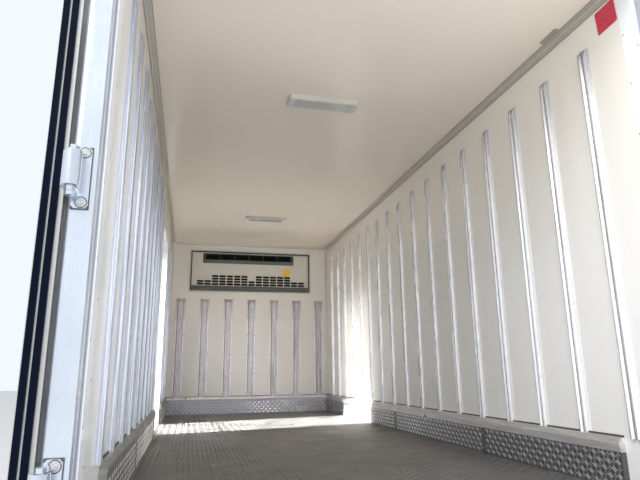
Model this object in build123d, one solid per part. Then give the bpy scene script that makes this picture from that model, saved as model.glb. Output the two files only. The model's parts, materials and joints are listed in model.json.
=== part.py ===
"""Insulated, refrigerated cargo body of a medium truck, taken off its chassis.

Millimetres. X points to the right of the vehicle, Y forward and Z up. The origin is the centre of
the rectangle of chassis bolts, on the underside of the long sills.
Both rear doors are folded back along the sides, and the side door is folded forward.
"""
import os
from math import cos, radians, sin, sqrt

from build123d import *

# Load space
LOAD_WIDTH = 2010.0
LOAD_HEIGHT = 2100.0
LOAD_LENGTH = 5328.0

# Panels of the body
WALL = 75.0
FRONT_WALL = 100.0
ROOF = 92.0
FLOOR = 86.0
TREAD = 4.0

# Under the floor
SILL_HEIGHT = 150.0
SILL_FLANGE = 60.0
SILL_STEEL = 6.0
SILL_SPREAD = 800.0
CROSS_HEIGHT = 80.0
CROSS_FLANGE = 45.0
CROSS_STEEL = 5.0
CROSS_PITCH = 400.0
CROSS_FIRST = 250.0

# Chassis bolts
BOLT_SPREAD = 920.0
BOLT_ROWS = 3600.0
BOLT_REAR = 950.0
BOLT_HOLE_R = 9.0
BRACKET_LENGTH = 120.0
BRACKET_STEEL = 8.0
BRACKET_EDGE = 30.0
BRACKET_HEIGHT = 90.0

# Rear portal
PORTAL_DEPTH = 72.0
PORTAL_SETBACK = 5.0
HEADER_DROP = 30.0
POST_ROUND = 20.0
GUTTER_OUT = 26.0
GUTTER_UP = 22.0
GUTTER_SHEET = 3.0
GUTTER_END = 40.0

# Outer rails
RAIL_SHEET = 3.0
RAIL_LEG = 85.0
BASE_RAIL_UP = 70.0

# Ribs on the linings
RIB_PITCH = 294.0
RIB_FIRST = 390.0
SIDE_RIB_FOOT = 38.0
SIDE_RIB_WEB = 22.0
SIDE_RIB_CROWN = 19.5
SIDE_RIB_GROOVE = 12.0
SIDE_RIB_GROOVE_FLAT = 4.0
SIDE_RIB_GROOVE_DEPTH = 8.0
RIB_DEPTH = 16.0
RIB_SHEET = 2.0
RIB_SIDE_TOP = 1930.0
RIB_FRONT_TOP = 1388.0
RIB_TAPER = 45.0
FRONT_RIB_CLEAR = 5.0
FRONT_RIB_PITCH = 292.0
FRONT_RIB_SHIFT = 9.0
FRONT_RIB_FOOT = 57.0
FRONT_RIB_WEB = 38.0
FRONT_RIB_CROWN = 32.0

# Kick plates
KICK_HEIGHT = 200.0
KICK_PLATE = 143.0
KICK_DEPTH = 25.0
KICK_LIP = 3.0
KICK_BEVEL = 25.0
KICK_END_ROUND = 40.0
KICK_END = 460.0
KICK_COVER = 46.0
KICK_COVER_SHEET = 2.0
KICK_COVER_FIRST = 1545.0
KICK_COVER_PITCH = 1438.0

# Trims
COVE_LEG = 36.0
COVE_SHEET = 3.0
FRONT_TRIM_LEG = 22.0
JAMB_TRIM = 85.0

# Ceiling lamps and probe
LAMP_LENGTH = 430.0
LAMP_WIDTH = 115.0
LAMP_DEPTH = 30.0
LAMP_RIM = 12.0
LAMP_END = 34.0
LAMP_CORNER = 8.0
LENS_DEPTH = 24.0
LENS_FLOOR = 4.0
LAMP_SPREAD = 2640.0
PROBE_WIDTH = 28.0
PROBE_LENGTH = 123.0
PROBE_DEPTH = 6.0
PROBE_FROM_WALL = 38.0
PROBE_FROM_REAR = 472.0

# Evaporator in the front wall
EVAP_WIDTH = 1520.0
EVAP_LOW = 1500.0
EVAP_HIGH = 1994.0
EVAP_RIM = 9.0
EVAP_RIM_OUT = 12.0
EVAP_BAND = 56.0
EVAP_PANEL = 14.0
EVAP_PANEL_BACK = 6.0
OUTLET_LEFT = 620.0
OUTLET_RIGHT = 555.0
OUTLET_LOW = 1850.0
OUTLET_TOP_GAP = 6.0
OUTLET_LIP = 46.0
OUTLET_LIP_OUT = 16.0
OUTLET_RIM = 8.0
OUTLET_VANE = 5.0
OUTLET_VANES = 5
OUTLET_END = 34.0
OUTLET_COMB = 7
OUTLET_BLADES = 2
GRILLE_PITCH = 93.0
GRILLE_SHIFT = 6.0
GRILLE_HOLE = 80.0
GRILLE_ROW = 34.0
GRILLE_SLOT = 26.0
GRILLE_LOW = 1582.0
GRILLE_LONG_SIDE = 7
GRILLE_SHORT_SIDE = 5
GRILLE_LONG_ROWS = 2
GRILLE_SHORT_ROWS = 2

# Refrigeration unit on the outside of the front wall
UNIT_WIDTH = 1600.0
UNIT_DEPTH = 430.0
UNIT_LOW = 1290.0
UNIT_TOP_GAP = 25.0
UNIT_NOSE = 110.0
UNIT_ROUND = 30.0
UNIT_END = 12.0
UNIT_GRILLE_WIDTH = 1240.0
UNIT_GRILLE_HEIGHT = 420.0
UNIT_GRILLE_LOW = 120.0
UNIT_GRILLE_DEPTH = 40.0
UNIT_LOUVRES = 11
LOUVRE_SHEET = 4.0
UNIT_GRILLE_RIM = 14.0

# Rear doors
PIN_OUT = 56.0
PIN_BACK = 40.0
DOOR_PROUD = 14.0
DOOR_EDGE = 58.0
DOOR_PLUG = 6.0
DOOR_PLUG_ROUND = 18.0
DOOR_PLUG_INSET = 45.0
EDGE_WIDTH = 32.0
DOOR_GAP = 6.0
LIP_REACH = 9.0
LIP_OUTER = 18.0
LIP_OUTER_FROM = 12.0
LIP_INNER = 17.0
LIP_INNER_FROM = 37.0
MEET_GAP = 3.0
BARREL_R = 23.0
BARREL_LENGTH = 100.0
HINGE_PIN_R = 9.0
PIN_FIT = 0.4
PIN_NUT_R = 13.0
PIN_NUT = 13.0
STRAP = 8.0
STRAP_LENGTH = 300.0
STRAP_HEIGHT = 90.0
PLATE = 8.0
PLATE_WIDTH = 44.0
PLATE_HEIGHT = 178.0
PLATE_IN = 3.0
PLATE_DROP = 13.0
LUG_R = 14.0
LUG_HEIGHT = 12.0
KNUCKLE_GAP = 2.0
REAR_OPEN = 266.0
HINGE_HEIGHTS = (197.0, 1014.0, 1840.0)

# Lock gear on the doors
LOCK_ROD_R = 12.0
LOCK_ROD_OFF = 22.0
LOCK_REACH = 44.0
LOCK_GUIDE = 40.0
LOCK_GUIDE_HEIGHT = 50.0
LOCK_HUB = 18.0
LOCK_HANDLE = 290.0
LOCK_HANDLE_STEP = 60.0
LOCK_HANDLE_HEIGHT = 430.0
LOCK_BAR = 8.0
LOCK_BAR_HEIGHT = 26.0
REAR_LOCKS = ((900.0, -1),)
KEEPER_GAP = 7.0
KEEPER_WIDTH = 14.0
KEEPER_DEPTH = 46.0
KEEPER_HEIGHT = 30.0

# Side door
SIDE_DOOR_FROM_REAR = 3190.0
SIDE_DOOR_WIDTH = 1000.0
SIDE_DOOR_HEIGHT = 1750.0
SIDE_FRAME = 5.0
SIDE_SILL = 6.0
SIDE_OPEN = 180.0
SIDE_HINGES = (200.0, 875.0, 1550.0)
SIDE_LOCKS = ((880.0, -1),)

# Door stays on the outer walls
STAY_PLATE = 5.0
STAY_SIZE = 70.0
STAY_ARM = 16.0
STAY_CLEAR = 6.0
STAY_HEIGHT = 90.0
STAY_ALONG = 800.0

# Lamps, buffers and drains
MARKER_LENGTH = 100.0
MARKER_HEIGHT = 36.0
MARKER_DEPTH = 16.0
MARKER_PLACES = (1550.0, 3500.0, 5250.0)
HEADER_MARKERS = (-880.0, 0.0, 880.0)
HEADER_MARKER_DROP = 75.0
BUFFER_WIDTH = 110.0
BUFFER_HEIGHT = 130.0
BUFFER_DEPTH = 45.0
BUFFER_FROM_SIDE = 130.0
DRAIN_R = 20.0
DRAIN_WALL = 3.0
DRAIN_DROP = 60.0
DRAIN_FROM_SIDE = 110.0
DRAIN_FROM_FRONT = 130.0
DRAIN_FLANGE = 6.0
FIT = 0.3

# Places worked out from the sizes above
HALF = LOAD_WIDTH / 2
OUT = HALF + WALL
REAR = -(BOLT_REAR + BOLT_ROWS / 2)
LINING = REAR + PORTAL_DEPTH
FRONT = LINING + LOAD_LENGTH
NOSE = FRONT + FRONT_WALL
FLOOR_BASE = SILL_HEIGHT + CROSS_HEIGHT
TREAD_BASE = FLOOR_BASE + FLOOR
DECK = TREAD_BASE + TREAD
CEILING = DECK + LOAD_HEIGHT
TOP = CEILING + ROOF
DOORWAY = HALF + PORTAL_SETBACK
HEADER = CEILING - HEADER_DROP
SIDE_REAR = REAR + SIDE_DOOR_FROM_REAR
SIDE_FRONT = SIDE_REAR + SIDE_DOOR_WIDTH
SIDE_TOP = DECK + SIDE_DOOR_HEIGHT
FACE = PIN_BACK - DOOR_PROUD
UNIT_TOP = TOP - UNIT_TOP_GAP
OUTLET_HIGH = EVAP_HIGH - EVAP_RIM - OUTLET_TOP_GAP


def block(x, y, z):
    """Box between two places on each axis."""
    low = (min(x), min(y), min(z))
    size = (max(x) - low[0], max(y) - low[1], max(z) - low[2])
    return Pos(*low) * Box(*size, align=(Align.MIN, Align.MIN, Align.MIN))


def prism(outline, along):
    """Closed outline of points in space, pushed along a vector."""
    face = Face(Wire.make_polygon([Vector(*point) for point in outline], close=True))
    return Solid.extrude(face, Vector(*along))


def rod(start, radius, along):
    """Round bar from a point along one vector."""
    plane = Plane(origin=start, z_dir=along)
    return plane * Cylinder(radius, Vector(*along).length, align=(Align.CENTER, Align.CENTER, Align.MIN))


def fuse(shapes):
    """Join touching shapes into one."""
    whole = shapes[0]
    for shape in shapes[1:]:
        whole = whole + shape
    return whole


def mirrored(shape):
    """The same piece on the other side of the vehicle."""
    return mirror(shape, about=Plane.YZ)


def both(shape):
    """A piece and its mirror image."""
    return [shape, mirrored(shape)]


def write(node, shapes):
    """One sub-part to its STEP file."""
    solids = []
    for shape in shapes:
        solids.extend(shape.solids())
    export_step(Compound(children=solids), "parts/" + node + ".step")


def drain_places():
    """Centres of the floor drains in the front corners."""
    x = HALF - DRAIN_FROM_SIDE
    return [(side * x, FRONT - DRAIN_FROM_FRONT) for side in (-1, 1)]


def with_drains(plate, radius):
    """Cut the drain holes through a floor layer."""
    for x, y in drain_places():
        plate = plate - Pos(x, y, DECK) * Cylinder(radius, 4 * FLOOR)
    return plate


# Floor, walls and roof

def floor_panel():
    """Insulated floor between the portal and the nose."""
    panel = block((-OUT, OUT), (LINING, NOSE), (FLOOR_BASE, TREAD_BASE))
    return with_drains(panel, DRAIN_R)


def floor_tread():
    """Tread plate that covers the floor from wall to wall."""
    plate = block((-HALF, HALF), (LINING, FRONT), (TREAD_BASE, DECK))
    return with_drains(plate, DRAIN_R)


def wall_right():
    """Plain side wall on the right."""
    return block((HALF, OUT), (LINING, NOSE), (TREAD_BASE, CEILING))


def wall_left():
    """Side wall on the left, cut for the side door and its frame."""
    wall = mirrored(wall_right())
    doorway = block(
        (-OUT - WALL, -HALF + WALL),
        (SIDE_REAR - SIDE_FRAME, SIDE_FRONT + SIDE_FRAME),
        (TREAD_BASE, SIDE_TOP + SIDE_FRAME))
    return wall - doorway


def wall_front():
    """Front wall between the side walls, cut for the evaporator."""
    wall = block((-HALF, HALF), (FRONT, NOSE), (TREAD_BASE, CEILING))
    half = EVAP_WIDTH / 2
    hole = block((-half, half), (FRONT - FRONT_WALL, NOSE + FRONT_WALL), (DECK + EVAP_LOW, DECK + EVAP_HIGH))
    return wall - hole


def roof_panel():
    """Roof over walls and load space."""
    return block((-OUT, OUT), (LINING, NOSE), (CEILING, TOP))


def rear_portal():
    """Stainless frame round the rear doorway, with rounded outer corners and a rain gutter."""
    frame = block((-OUT, OUT), (REAR, LINING), (SILL_HEIGHT, TOP))
    frame = frame - block((-DOORWAY, DOORWAY), (REAR - WALL, LINING + WALL), (DECK, HEADER))
    corners = frame.edges().filter_by(Axis.Z).filter_by_position(Axis.Y, REAR, REAR)
    corners = [edge for edge in corners if abs(abs(edge.center().X) - OUT) < FIT]
    frame = fillet(corners, POST_ROUND)
    end = OUT - GUTTER_END
    lip = REAR - GUTTER_OUT
    low = TOP - GUTTER_UP - GUTTER_SHEET
    outline = [
        (-end, REAR, low), (-end, lip, low), (-end, lip, low + GUTTER_UP),
        (-end, lip + GUTTER_SHEET, low + GUTTER_UP), (-end, lip + GUTTER_SHEET, low + GUTTER_SHEET),
        (-end, REAR, low + GUTTER_SHEET)]
    return frame + prism(outline, (2 * end, 0, 0))


# Rails and posts outside

def angle_along_y(x, z, leg_x, leg_z, sheet, y0, y1):
    """Angle whose corner is at x, z and whose legs point by the signs of leg_x and leg_z."""
    sx = sheet if leg_x > 0 else -sheet
    sz = sheet if leg_z > 0 else -sheet
    outline = [
        (x, y0, z), (x + leg_x, y0, z), (x + leg_x, y0, z + sz),
        (x + sx, y0, z + sz), (x + sx, y0, z + leg_z), (x, y0, z + leg_z)]
    return prism(outline, (0, y1 - y0, 0))


def outer_rails():
    """Angles along the roof edges, the base edges and the front corners."""
    skin = OUT + RAIL_SHEET
    crown = TOP + RAIL_SHEET
    prow = NOSE + RAIL_SHEET
    roof = angle_along_y(skin, crown, -RAIL_LEG, -RAIL_LEG, RAIL_SHEET, LINING, NOSE)
    front_roof = fuse([
        block((-skin + RAIL_LEG, skin - RAIL_LEG), (NOSE - RAIL_LEG, prow), (TOP, crown)),
        block((-skin + RAIL_LEG, skin - RAIL_LEG), (NOSE, prow), (UNIT_TOP + UNIT_TOP_GAP / 2, crown))])
    post = fuse([
        block((OUT, skin), (NOSE - RAIL_LEG, prow), (FLOOR_BASE, crown - RAIL_LEG)),
        block((skin - RAIL_LEG, skin), (NOSE, prow), (FLOOR_BASE, crown))])
    base = block((OUT, skin), (LINING, NOSE - RAIL_LEG), (FLOOR_BASE, TREAD_BASE + BASE_RAIL_UP))
    doorway = block(
        (-skin - RAIL_LEG, 0), (SIDE_REAR - SIDE_FRAME, SIDE_FRONT + SIDE_FRAME), (DECK, SIDE_TOP))
    return both(roof) + [front_roof] + both(post) + [base, mirrored(base) - doorway]


# Sills, crossmembers and brackets below

def sill():
    """Right channel sill, open to the outside."""
    web = SILL_SPREAD / 2 - SILL_FLANGE / 2
    tip = web + SILL_FLANGE
    outline = [
        (web, REAR, 0), (tip, REAR, 0), (tip, REAR, SILL_STEEL),
        (web + SILL_STEEL, REAR, SILL_STEEL), (web + SILL_STEEL, REAR, SILL_HEIGHT - SILL_STEEL),
        (tip, REAR, SILL_HEIGHT - SILL_STEEL), (tip, REAR, SILL_HEIGHT), (web, REAR, SILL_HEIGHT)]
    return prism(outline, (0, NOSE - REAR, 0))


def crossmembers():
    """Channels across the sills that carry the floor."""
    bars = []
    y = REAR + CROSS_FIRST
    while y + CROSS_FLANGE < NOSE:
        low = SILL_HEIGHT
        high = SILL_HEIGHT + CROSS_HEIGHT
        outline = [
            (-OUT, y, low), (-OUT, y + CROSS_FLANGE, low), (-OUT, y + CROSS_FLANGE, low + CROSS_STEEL),
            (-OUT, y + CROSS_STEEL, low + CROSS_STEEL), (-OUT, y + CROSS_STEEL, high - CROSS_STEEL),
            (-OUT, y + CROSS_FLANGE, high - CROSS_STEEL), (-OUT, y + CROSS_FLANGE, high), (-OUT, y, high)]
        bars.append(prism(outline, (2 * OUT, 0, 0)))
        y += CROSS_PITCH
    return bars


def bracket(y):
    """Right chassis bracket: a foot with one bolt hole and an upright against the sill."""
    seat = SILL_SPREAD / 2 + SILL_FLANGE / 2
    foot_end = BOLT_SPREAD / 2 + BRACKET_EDGE
    half = BRACKET_LENGTH / 2
    foot = block((seat, foot_end), (y - half, y + half), (0, BRACKET_STEEL))
    upright = block((seat, seat + BRACKET_STEEL), (y - half, y + half), (0, BRACKET_HEIGHT))
    hole = Pos(BOLT_SPREAD / 2, y, 0) * Cylinder(BOLT_HOLE_R, 4 * BRACKET_STEEL)
    return foot + upright - hole


def brackets():
    """Three brackets on each sill."""
    pieces = []
    for y in (-BOLT_ROWS / 2, 0.0, BOLT_ROWS / 2):
        pieces.extend(both(bracket(y)))
    return pieces


# Ribs

def rib_outline(foot, web, crown, groove=()):
    """Hat section as (across, proud) points, with the points of a groove along its crown, if any."""
    return [
        (-foot, 0), (foot, 0), (foot, RIB_SHEET), (web, RIB_SHEET), (crown, RIB_DEPTH), *groove,
        (-crown, RIB_DEPTH), (-web, RIB_SHEET), (-foot, RIB_SHEET)]


def side_rib(y, top):
    """Narrow upright rib on the right lining, its upper end cut at a slant."""
    low = DECK + KICK_HEIGHT
    bottom = RIB_DEPTH - SIDE_RIB_GROOVE_DEPTH
    groove = [
        (SIDE_RIB_GROOVE, RIB_DEPTH), (SIDE_RIB_GROOVE_FLAT, bottom),
        (-SIDE_RIB_GROOVE_FLAT, bottom), (-SIDE_RIB_GROOVE, RIB_DEPTH)]
    section = rib_outline(SIDE_RIB_FOOT, SIDE_RIB_WEB, SIDE_RIB_CROWN, groove)
    rib = prism([(HALF - proud, y + across, low) for across, proud in section], (0, 0, top - low))
    start = y - 2 * SIDE_RIB_FOOT
    slant = [
        (HALF - RIB_SHEET, start, top),
        (HALF - 2 * RIB_DEPTH, start, top),
        (HALF - 2 * RIB_DEPTH, start, top - 2 * RIB_TAPER)]
    return rib - prism(slant, (0, 4 * SIDE_RIB_FOOT, 0))


def front_rib(x, top):
    """Wider upright rib on the front lining."""
    low = DECK + KICK_HEIGHT
    section = rib_outline(FRONT_RIB_FOOT, FRONT_RIB_WEB, FRONT_RIB_CROWN)
    rib = prism([(x + across, FRONT - proud, low) for across, proud in section], (0, 0, top - low))
    start = x - 2 * FRONT_RIB_FOOT
    slant = [
        (start, FRONT - RIB_SHEET, top),
        (start, FRONT - 2 * RIB_DEPTH, top),
        (start, FRONT - 2 * RIB_DEPTH, top - 2 * RIB_TAPER)]
    return rib - prism(slant, (4 * FRONT_RIB_FOOT, 0, 0))


def rib_places():
    """Places of the side ribs along Y, from the rear to the front."""
    places = []
    y = REAR + RIB_FIRST
    while y + SIDE_RIB_FOOT < FRONT - RIB_DEPTH:
        places.append(y)
        y += RIB_PITCH
    return places


def ribs_right():
    return [side_rib(y, DECK + RIB_SIDE_TOP) for y in rib_places()]


def ribs_left():
    """Ribs on the left lining, except where the side door is."""
    clear = SIDE_RIB_FOOT + SIDE_FRAME
    places = [y for y in rib_places() if y < SIDE_REAR - clear or y > SIDE_FRONT + clear]
    return [mirrored(side_rib(y, DECK + RIB_SIDE_TOP)) for y in places]


def ribs_front():
    """As many ribs as fit evenly between the corner angles."""
    reach = HALF - FRONT_TRIM_LEG - FRONT_RIB_CLEAR - FRONT_RIB_FOOT - FRONT_RIB_SHIFT
    beside = int(reach // FRONT_RIB_PITCH)
    places = [FRONT_RIB_SHIFT + i * FRONT_RIB_PITCH for i in range(-beside, beside + 1)]
    return [front_rib(x, DECK + RIB_FRONT_TOP) for x in places]


# Kick plates

def kick_outline():
    """Plate with its bevelled cap, as (proud, height) points."""
    cap = KICK_DEPTH + KICK_LIP
    return [
        (0, 0), (KICK_DEPTH, 0), (KICK_DEPTH, KICK_PLATE), (cap, KICK_PLATE),
        (cap, KICK_HEIGHT - KICK_BEVEL), (RIB_DEPTH, KICK_HEIGHT), (0, KICK_HEIGHT)]


def side_kick(y0, y1, rounded):
    """Right kick plate between two places along Y, its rear end rounded if asked."""
    outline = [(HALF - proud, y0, DECK + up) for proud, up in kick_outline()]
    kick = prism(outline, (0, y1 - y0, 0))
    if rounded:
        top = DECK + KICK_HEIGHT
        r = KICK_END_ROUND
        corner = block((HALF - 2 * KICK_DEPTH, HALF + FIT), (y0 - FIT, y0 + r), (top - r, top + FIT))
        corner = corner - rod((HALF - 3 * KICK_DEPTH, y0 + r, top - r), r, (4 * KICK_DEPTH, 0, 0))
        kick = kick - corner
    return kick


def with_covers(kick, y0, y1):
    """Add the flat covers over the joints of the plates."""
    face = HALF - KICK_DEPTH
    y = REAR + KICK_COVER_FIRST
    while y < y1 - KICK_COVER:
        if y - KICK_COVER > y0:
            kick = kick + block(
                (face - KICK_COVER_SHEET, face), (y - KICK_COVER / 2, y + KICK_COVER / 2),
                (DECK, DECK + KICK_PLATE))
        y += KICK_COVER_PITCH
    return kick


def kick_right():
    y0 = REAR + KICK_END
    return with_covers(side_kick(y0, FRONT, True), y0, FRONT)


def kick_left():
    """Two kick plates, one on each side of the side door."""
    y0 = REAR + KICK_END
    y1 = SIDE_REAR - SIDE_FRAME
    rear = with_covers(side_kick(y0, y1, True), y0, y1)
    front = side_kick(SIDE_FRONT + SIDE_FRAME, FRONT, False)
    return [mirrored(rear), mirrored(front)]


def kick_front():
    """Kick plate across the front, between the side plates."""
    end = HALF - KICK_DEPTH - KICK_LIP - FIT
    outline = [(-end, FRONT - proud, DECK + up) for proud, up in kick_outline()]
    return prism(outline, (2 * end, 0, 0))


# Trims inside

def inner_trims():
    """Angles in the corners between the linings."""
    cove = angle_along_y(HALF, CEILING, -COVE_LEG, -COVE_LEG, COVE_SHEET, LINING, FRONT)
    leg = FRONT_TRIM_LEG
    sheet = COVE_SHEET
    inside = HALF - COVE_LEG - FIT
    top = fuse([
        block((-inside, inside), (FRONT - leg, FRONT), (CEILING - sheet, CEILING)),
        block((-inside, inside), (FRONT - sheet, FRONT), (CEILING - leg, CEILING))])
    low = DECK + KICK_HEIGHT
    high = CEILING - COVE_LEG - FIT
    upright = fuse([
        block((HALF - leg, HALF), (FRONT - sheet, FRONT), (low, high)),
        block((HALF - sheet, HALF), (FRONT - leg, FRONT), (low, high))])
    return both(cove) + [top] + both(upright)


def jamb_trims():
    """Flat strips that cover the joint of linings and portal."""
    high = CEILING - COVE_LEG - FIT
    strip = block((HALF - COVE_SHEET, HALF), (LINING, LINING + JAMB_TRIM), (DECK, high))
    inside = HALF - COVE_LEG - FIT
    over = block((-inside, inside), (LINING, LINING + JAMB_TRIM), (CEILING - COVE_SHEET, CEILING))
    return both(strip) + [over]


# Ceiling lamps and probe

def lamp_housing(y):
    """Rectangular housing with an open face and cut corners."""
    half_x = LAMP_LENGTH / 2
    half_y = LAMP_WIDTH / 2
    shell = block((-half_x, half_x), (y - half_y, y + half_y), (CEILING - LAMP_DEPTH, CEILING))
    shell = chamfer(shell.edges().filter_by(Axis.Z), LAMP_CORNER)
    room_x = half_x - LAMP_END
    room_y = half_y - LAMP_RIM
    return shell - block((-room_x, room_x), (y - room_y, y + room_y), (CEILING - 2 * LAMP_DEPTH, CEILING - LENS_FLOOR))


def lamp_lens(y):
    """Clear lens inside the housing."""
    x = LAMP_LENGTH / 2 - LAMP_END - FIT
    half_y = LAMP_WIDTH / 2 - LAMP_RIM - FIT
    return block((-x, x), (y - half_y, y + half_y), (CEILING - LENS_FLOOR - LENS_DEPTH, CEILING - LENS_FLOOR))


def probe():
    """Small cover plate on the ceiling beside the right cove."""
    x = HALF - PROBE_FROM_WALL
    y = REAR + PROBE_FROM_REAR
    plate = block((x - PROBE_WIDTH, x), (y, y + PROBE_LENGTH), (CEILING - PROBE_DEPTH, CEILING))
    return chamfer(plate.edges().filter_by(Axis.Z), PROBE_DEPTH / 2)


# Evaporator

def evaporator_frame():
    """Rim round the opening in the front wall, with a deeper band below."""
    half = EVAP_WIDTH / 2
    rim = EVAP_RIM
    low = DECK + EVAP_LOW
    high = DECK + EVAP_HIGH
    outer = block((-half - rim, half + rim), (FRONT - EVAP_RIM_OUT, FRONT), (low - rim, high + rim))
    window = block((-half + rim, half - rim), (FRONT - 2 * EVAP_RIM_OUT, FRONT + rim), (low + EVAP_BAND, high - rim))
    return outer - window


def grille_holes():
    """Places of the intake slots as (x, height) pairs: full rows below, and above them short rows
    that leave the middle slot out."""
    places = []
    for row in range(GRILLE_LONG_ROWS + GRILLE_SHORT_ROWS):
        full = row < GRILLE_LONG_ROWS
        side = GRILLE_LONG_SIDE if full else GRILLE_SHORT_SIDE
        for i in range(-side, side + 1):
            if full or i != 0:
                places.append((GRILLE_SHIFT + i * GRILLE_PITCH, GRILLE_LOW + row * GRILLE_ROW))
    return places


def evaporator_panel():
    """Front panel with the air outlet above and the intake grille below."""
    half = EVAP_WIDTH / 2 - FIT
    y0 = FRONT + EVAP_PANEL_BACK
    y1 = y0 + EVAP_PANEL
    panel = block((-half, half), (y0, y1), (DECK + EVAP_LOW + FIT, DECK + EVAP_HIGH - FIT))
    cuts = [block((-OUTLET_LEFT, OUTLET_RIGHT), (y0 - FIT, y1 + FIT), (DECK + OUTLET_LOW, DECK + OUTLET_HIGH))]
    for x, z in grille_holes():
        cuts.append(block(
            (x - GRILLE_HOLE / 2, x + GRILLE_HOLE / 2), (y0 - FIT, y1 + FIT),
            (DECK + z - GRILLE_SLOT / 2, DECK + z + GRILLE_SLOT / 2)))
    return panel - cuts


def outlet_vanes():
    """Air outlet: a sloped lip below, upright vanes, level blades and a comb of slats at each end."""
    y0 = FRONT + EVAP_PANEL_BACK
    y1 = y0 + EVAP_PANEL
    low = DECK + OUTLET_LOW + FIT
    high = DECK + OUTLET_HIGH - FIT
    left = -OUTLET_LEFT + FIT
    right = OUTLET_RIGHT - FIT
    sill_top = low + OUTLET_LIP
    lip = prism(
        [(left, y1, low), (left, y0, low), (left, y0 - OUTLET_LIP_OUT, sill_top - OUTLET_VANE),
         (left, y0 - OUTLET_LIP_OUT, sill_top), (left, y1, sill_top)],
        (right - left, 0, 0))
    bars = [lip, block((left, right), (y0, y1), (high - OUTLET_RIM, high))]
    bars.append(block((left, left + OUTLET_RIM), (y0, y1), (low, high)))
    bars.append(block((right - OUTLET_RIM, right), (y0, y1), (low, high)))
    inner_left = left + OUTLET_END
    inner_right = right - OUTLET_END
    for i in range(OUTLET_VANES + 2):
        x = inner_left + (inner_right - inner_left) * i / (OUTLET_VANES + 1)
        bars.append(block((x - OUTLET_VANE / 2, x + OUTLET_VANE / 2), (y0, y1), (sill_top - OUTLET_VANE, high)))
    for i in range(OUTLET_BLADES):
        z = sill_top + (high - sill_top) * (i + 1) / (OUTLET_BLADES + 1)
        bars.append(block((inner_left, inner_right), (y0 + OUTLET_VANE, y1), (z, z + OUTLET_VANE)))
    for i in range(OUTLET_COMB):
        z = sill_top + (high - sill_top - OUTLET_RIM) * i / OUTLET_COMB
        bars.append(block((left, inner_left), (y0, y1), (z, z + OUTLET_VANE)))
        bars.append(block((inner_right, right), (y0, y1), (z, z + OUTLET_VANE)))
    return fuse(bars)


# Refrigeration unit

def refrigeration_unit():
    """Housing on the nose with the evaporator box that passes through the front wall."""
    half = UNIT_WIDTH / 2
    low = DECK + UNIT_LOW
    prow = NOSE + UNIT_DEPTH
    outline = [
        (-half, NOSE, low), (-half, prow - UNIT_NOSE, low), (-half, prow, low + UNIT_NOSE),
        (-half, prow, UNIT_TOP - UNIT_NOSE), (-half, prow - UNIT_NOSE, UNIT_TOP), (-half, NOSE, UNIT_TOP)]
    case = prism(outline, (UNIT_WIDTH, 0, 0))
    long_edges = case.edges().filter_by(Axis.X).filter_by(lambda edge: edge.center().Y > NOSE + FIT)
    case = fillet(long_edges, UNIT_ROUND)
    ends = case.faces().filter_by(Axis.X).edges().filter_by(lambda edge: edge.center().Y > NOSE + FIT)
    case = chamfer(ends, UNIT_END)
    grille_low = low + UNIT_GRILLE_LOW
    grille_half = UNIT_GRILLE_WIDTH / 2
    case = case - block(
        (-grille_half, grille_half), (prow - UNIT_GRILLE_DEPTH, prow + UNIT_DEPTH),
        (grille_low, grille_low + UNIT_GRILLE_HEIGHT))
    box_half = EVAP_WIDTH / 2 - FIT
    core = block(
        (-box_half, box_half), (FRONT + EVAP_PANEL_BACK + EVAP_PANEL, NOSE),
        (DECK + EVAP_LOW + FIT, DECK + EVAP_HIGH - FIT))
    return case + core


def unit_grille():
    """Louvred grille in the front of the unit."""
    prow = NOSE + UNIT_DEPTH
    half = UNIT_GRILLE_WIDTH / 2 - FIT
    low = DECK + UNIT_LOW + UNIT_GRILLE_LOW + FIT
    high = low + UNIT_GRILLE_HEIGHT - 2 * FIT
    rim = UNIT_GRILLE_RIM
    frame = block((-half, half), (prow - UNIT_GRILLE_DEPTH, prow), (low, high))
    frame = frame - block(
        (-half + rim, half - rim), (prow - 2 * UNIT_GRILLE_DEPTH, prow + rim), (low + rim, high - rim))
    pieces = [frame]
    step = (high - low - 2 * rim) / (UNIT_LOUVRES + 1)
    for i in range(UNIT_LOUVRES):
        z = low + rim + (i + 1) * step
        outline = [
            (-half, prow - UNIT_GRILLE_DEPTH, z + step / 2), (-half, prow - LOUVRE_SHEET, z - step / 2),
            (-half, prow - LOUVRE_SHEET, z - step / 2 + LOUVRE_SHEET),
            (-half, prow - UNIT_GRILLE_DEPTH, z + step / 2 + LOUVRE_SHEET)]
        pieces.append(prism(outline, (2 * half, 0, 0)))
    return fuse(pieces)


# Doors, first drawn shut round a pin at the origin: X runs from the pin to the free edge and
# Y points into the load space

class Door:
    """Sizes of one door: reach from pin to free edge, height and the heights of its hinges."""

    def __init__(self, reach, height, hinges, locks):
        self.start = PIN_OUT + DOOR_GAP + LIP_REACH
        self.end = reach - LIP_REACH
        self.low = DOOR_GAP + LIP_REACH
        self.high = height - DOOR_GAP - LIP_REACH
        self.hinges = hinges
        self.locks = locks


def door_edge(door):
    """Aluminium profile round the panel."""
    ring = block((door.start, door.end), (FACE, FACE + DOOR_EDGE), (door.low, door.high))
    inner = block(
        (door.start + EDGE_WIDTH, door.end - EDGE_WIDTH), (FACE - DOOR_EDGE, FACE + 2 * DOOR_EDGE),
        (door.low + EDGE_WIDTH, door.high - EDGE_WIDTH))
    return [ring - inner]


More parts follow.
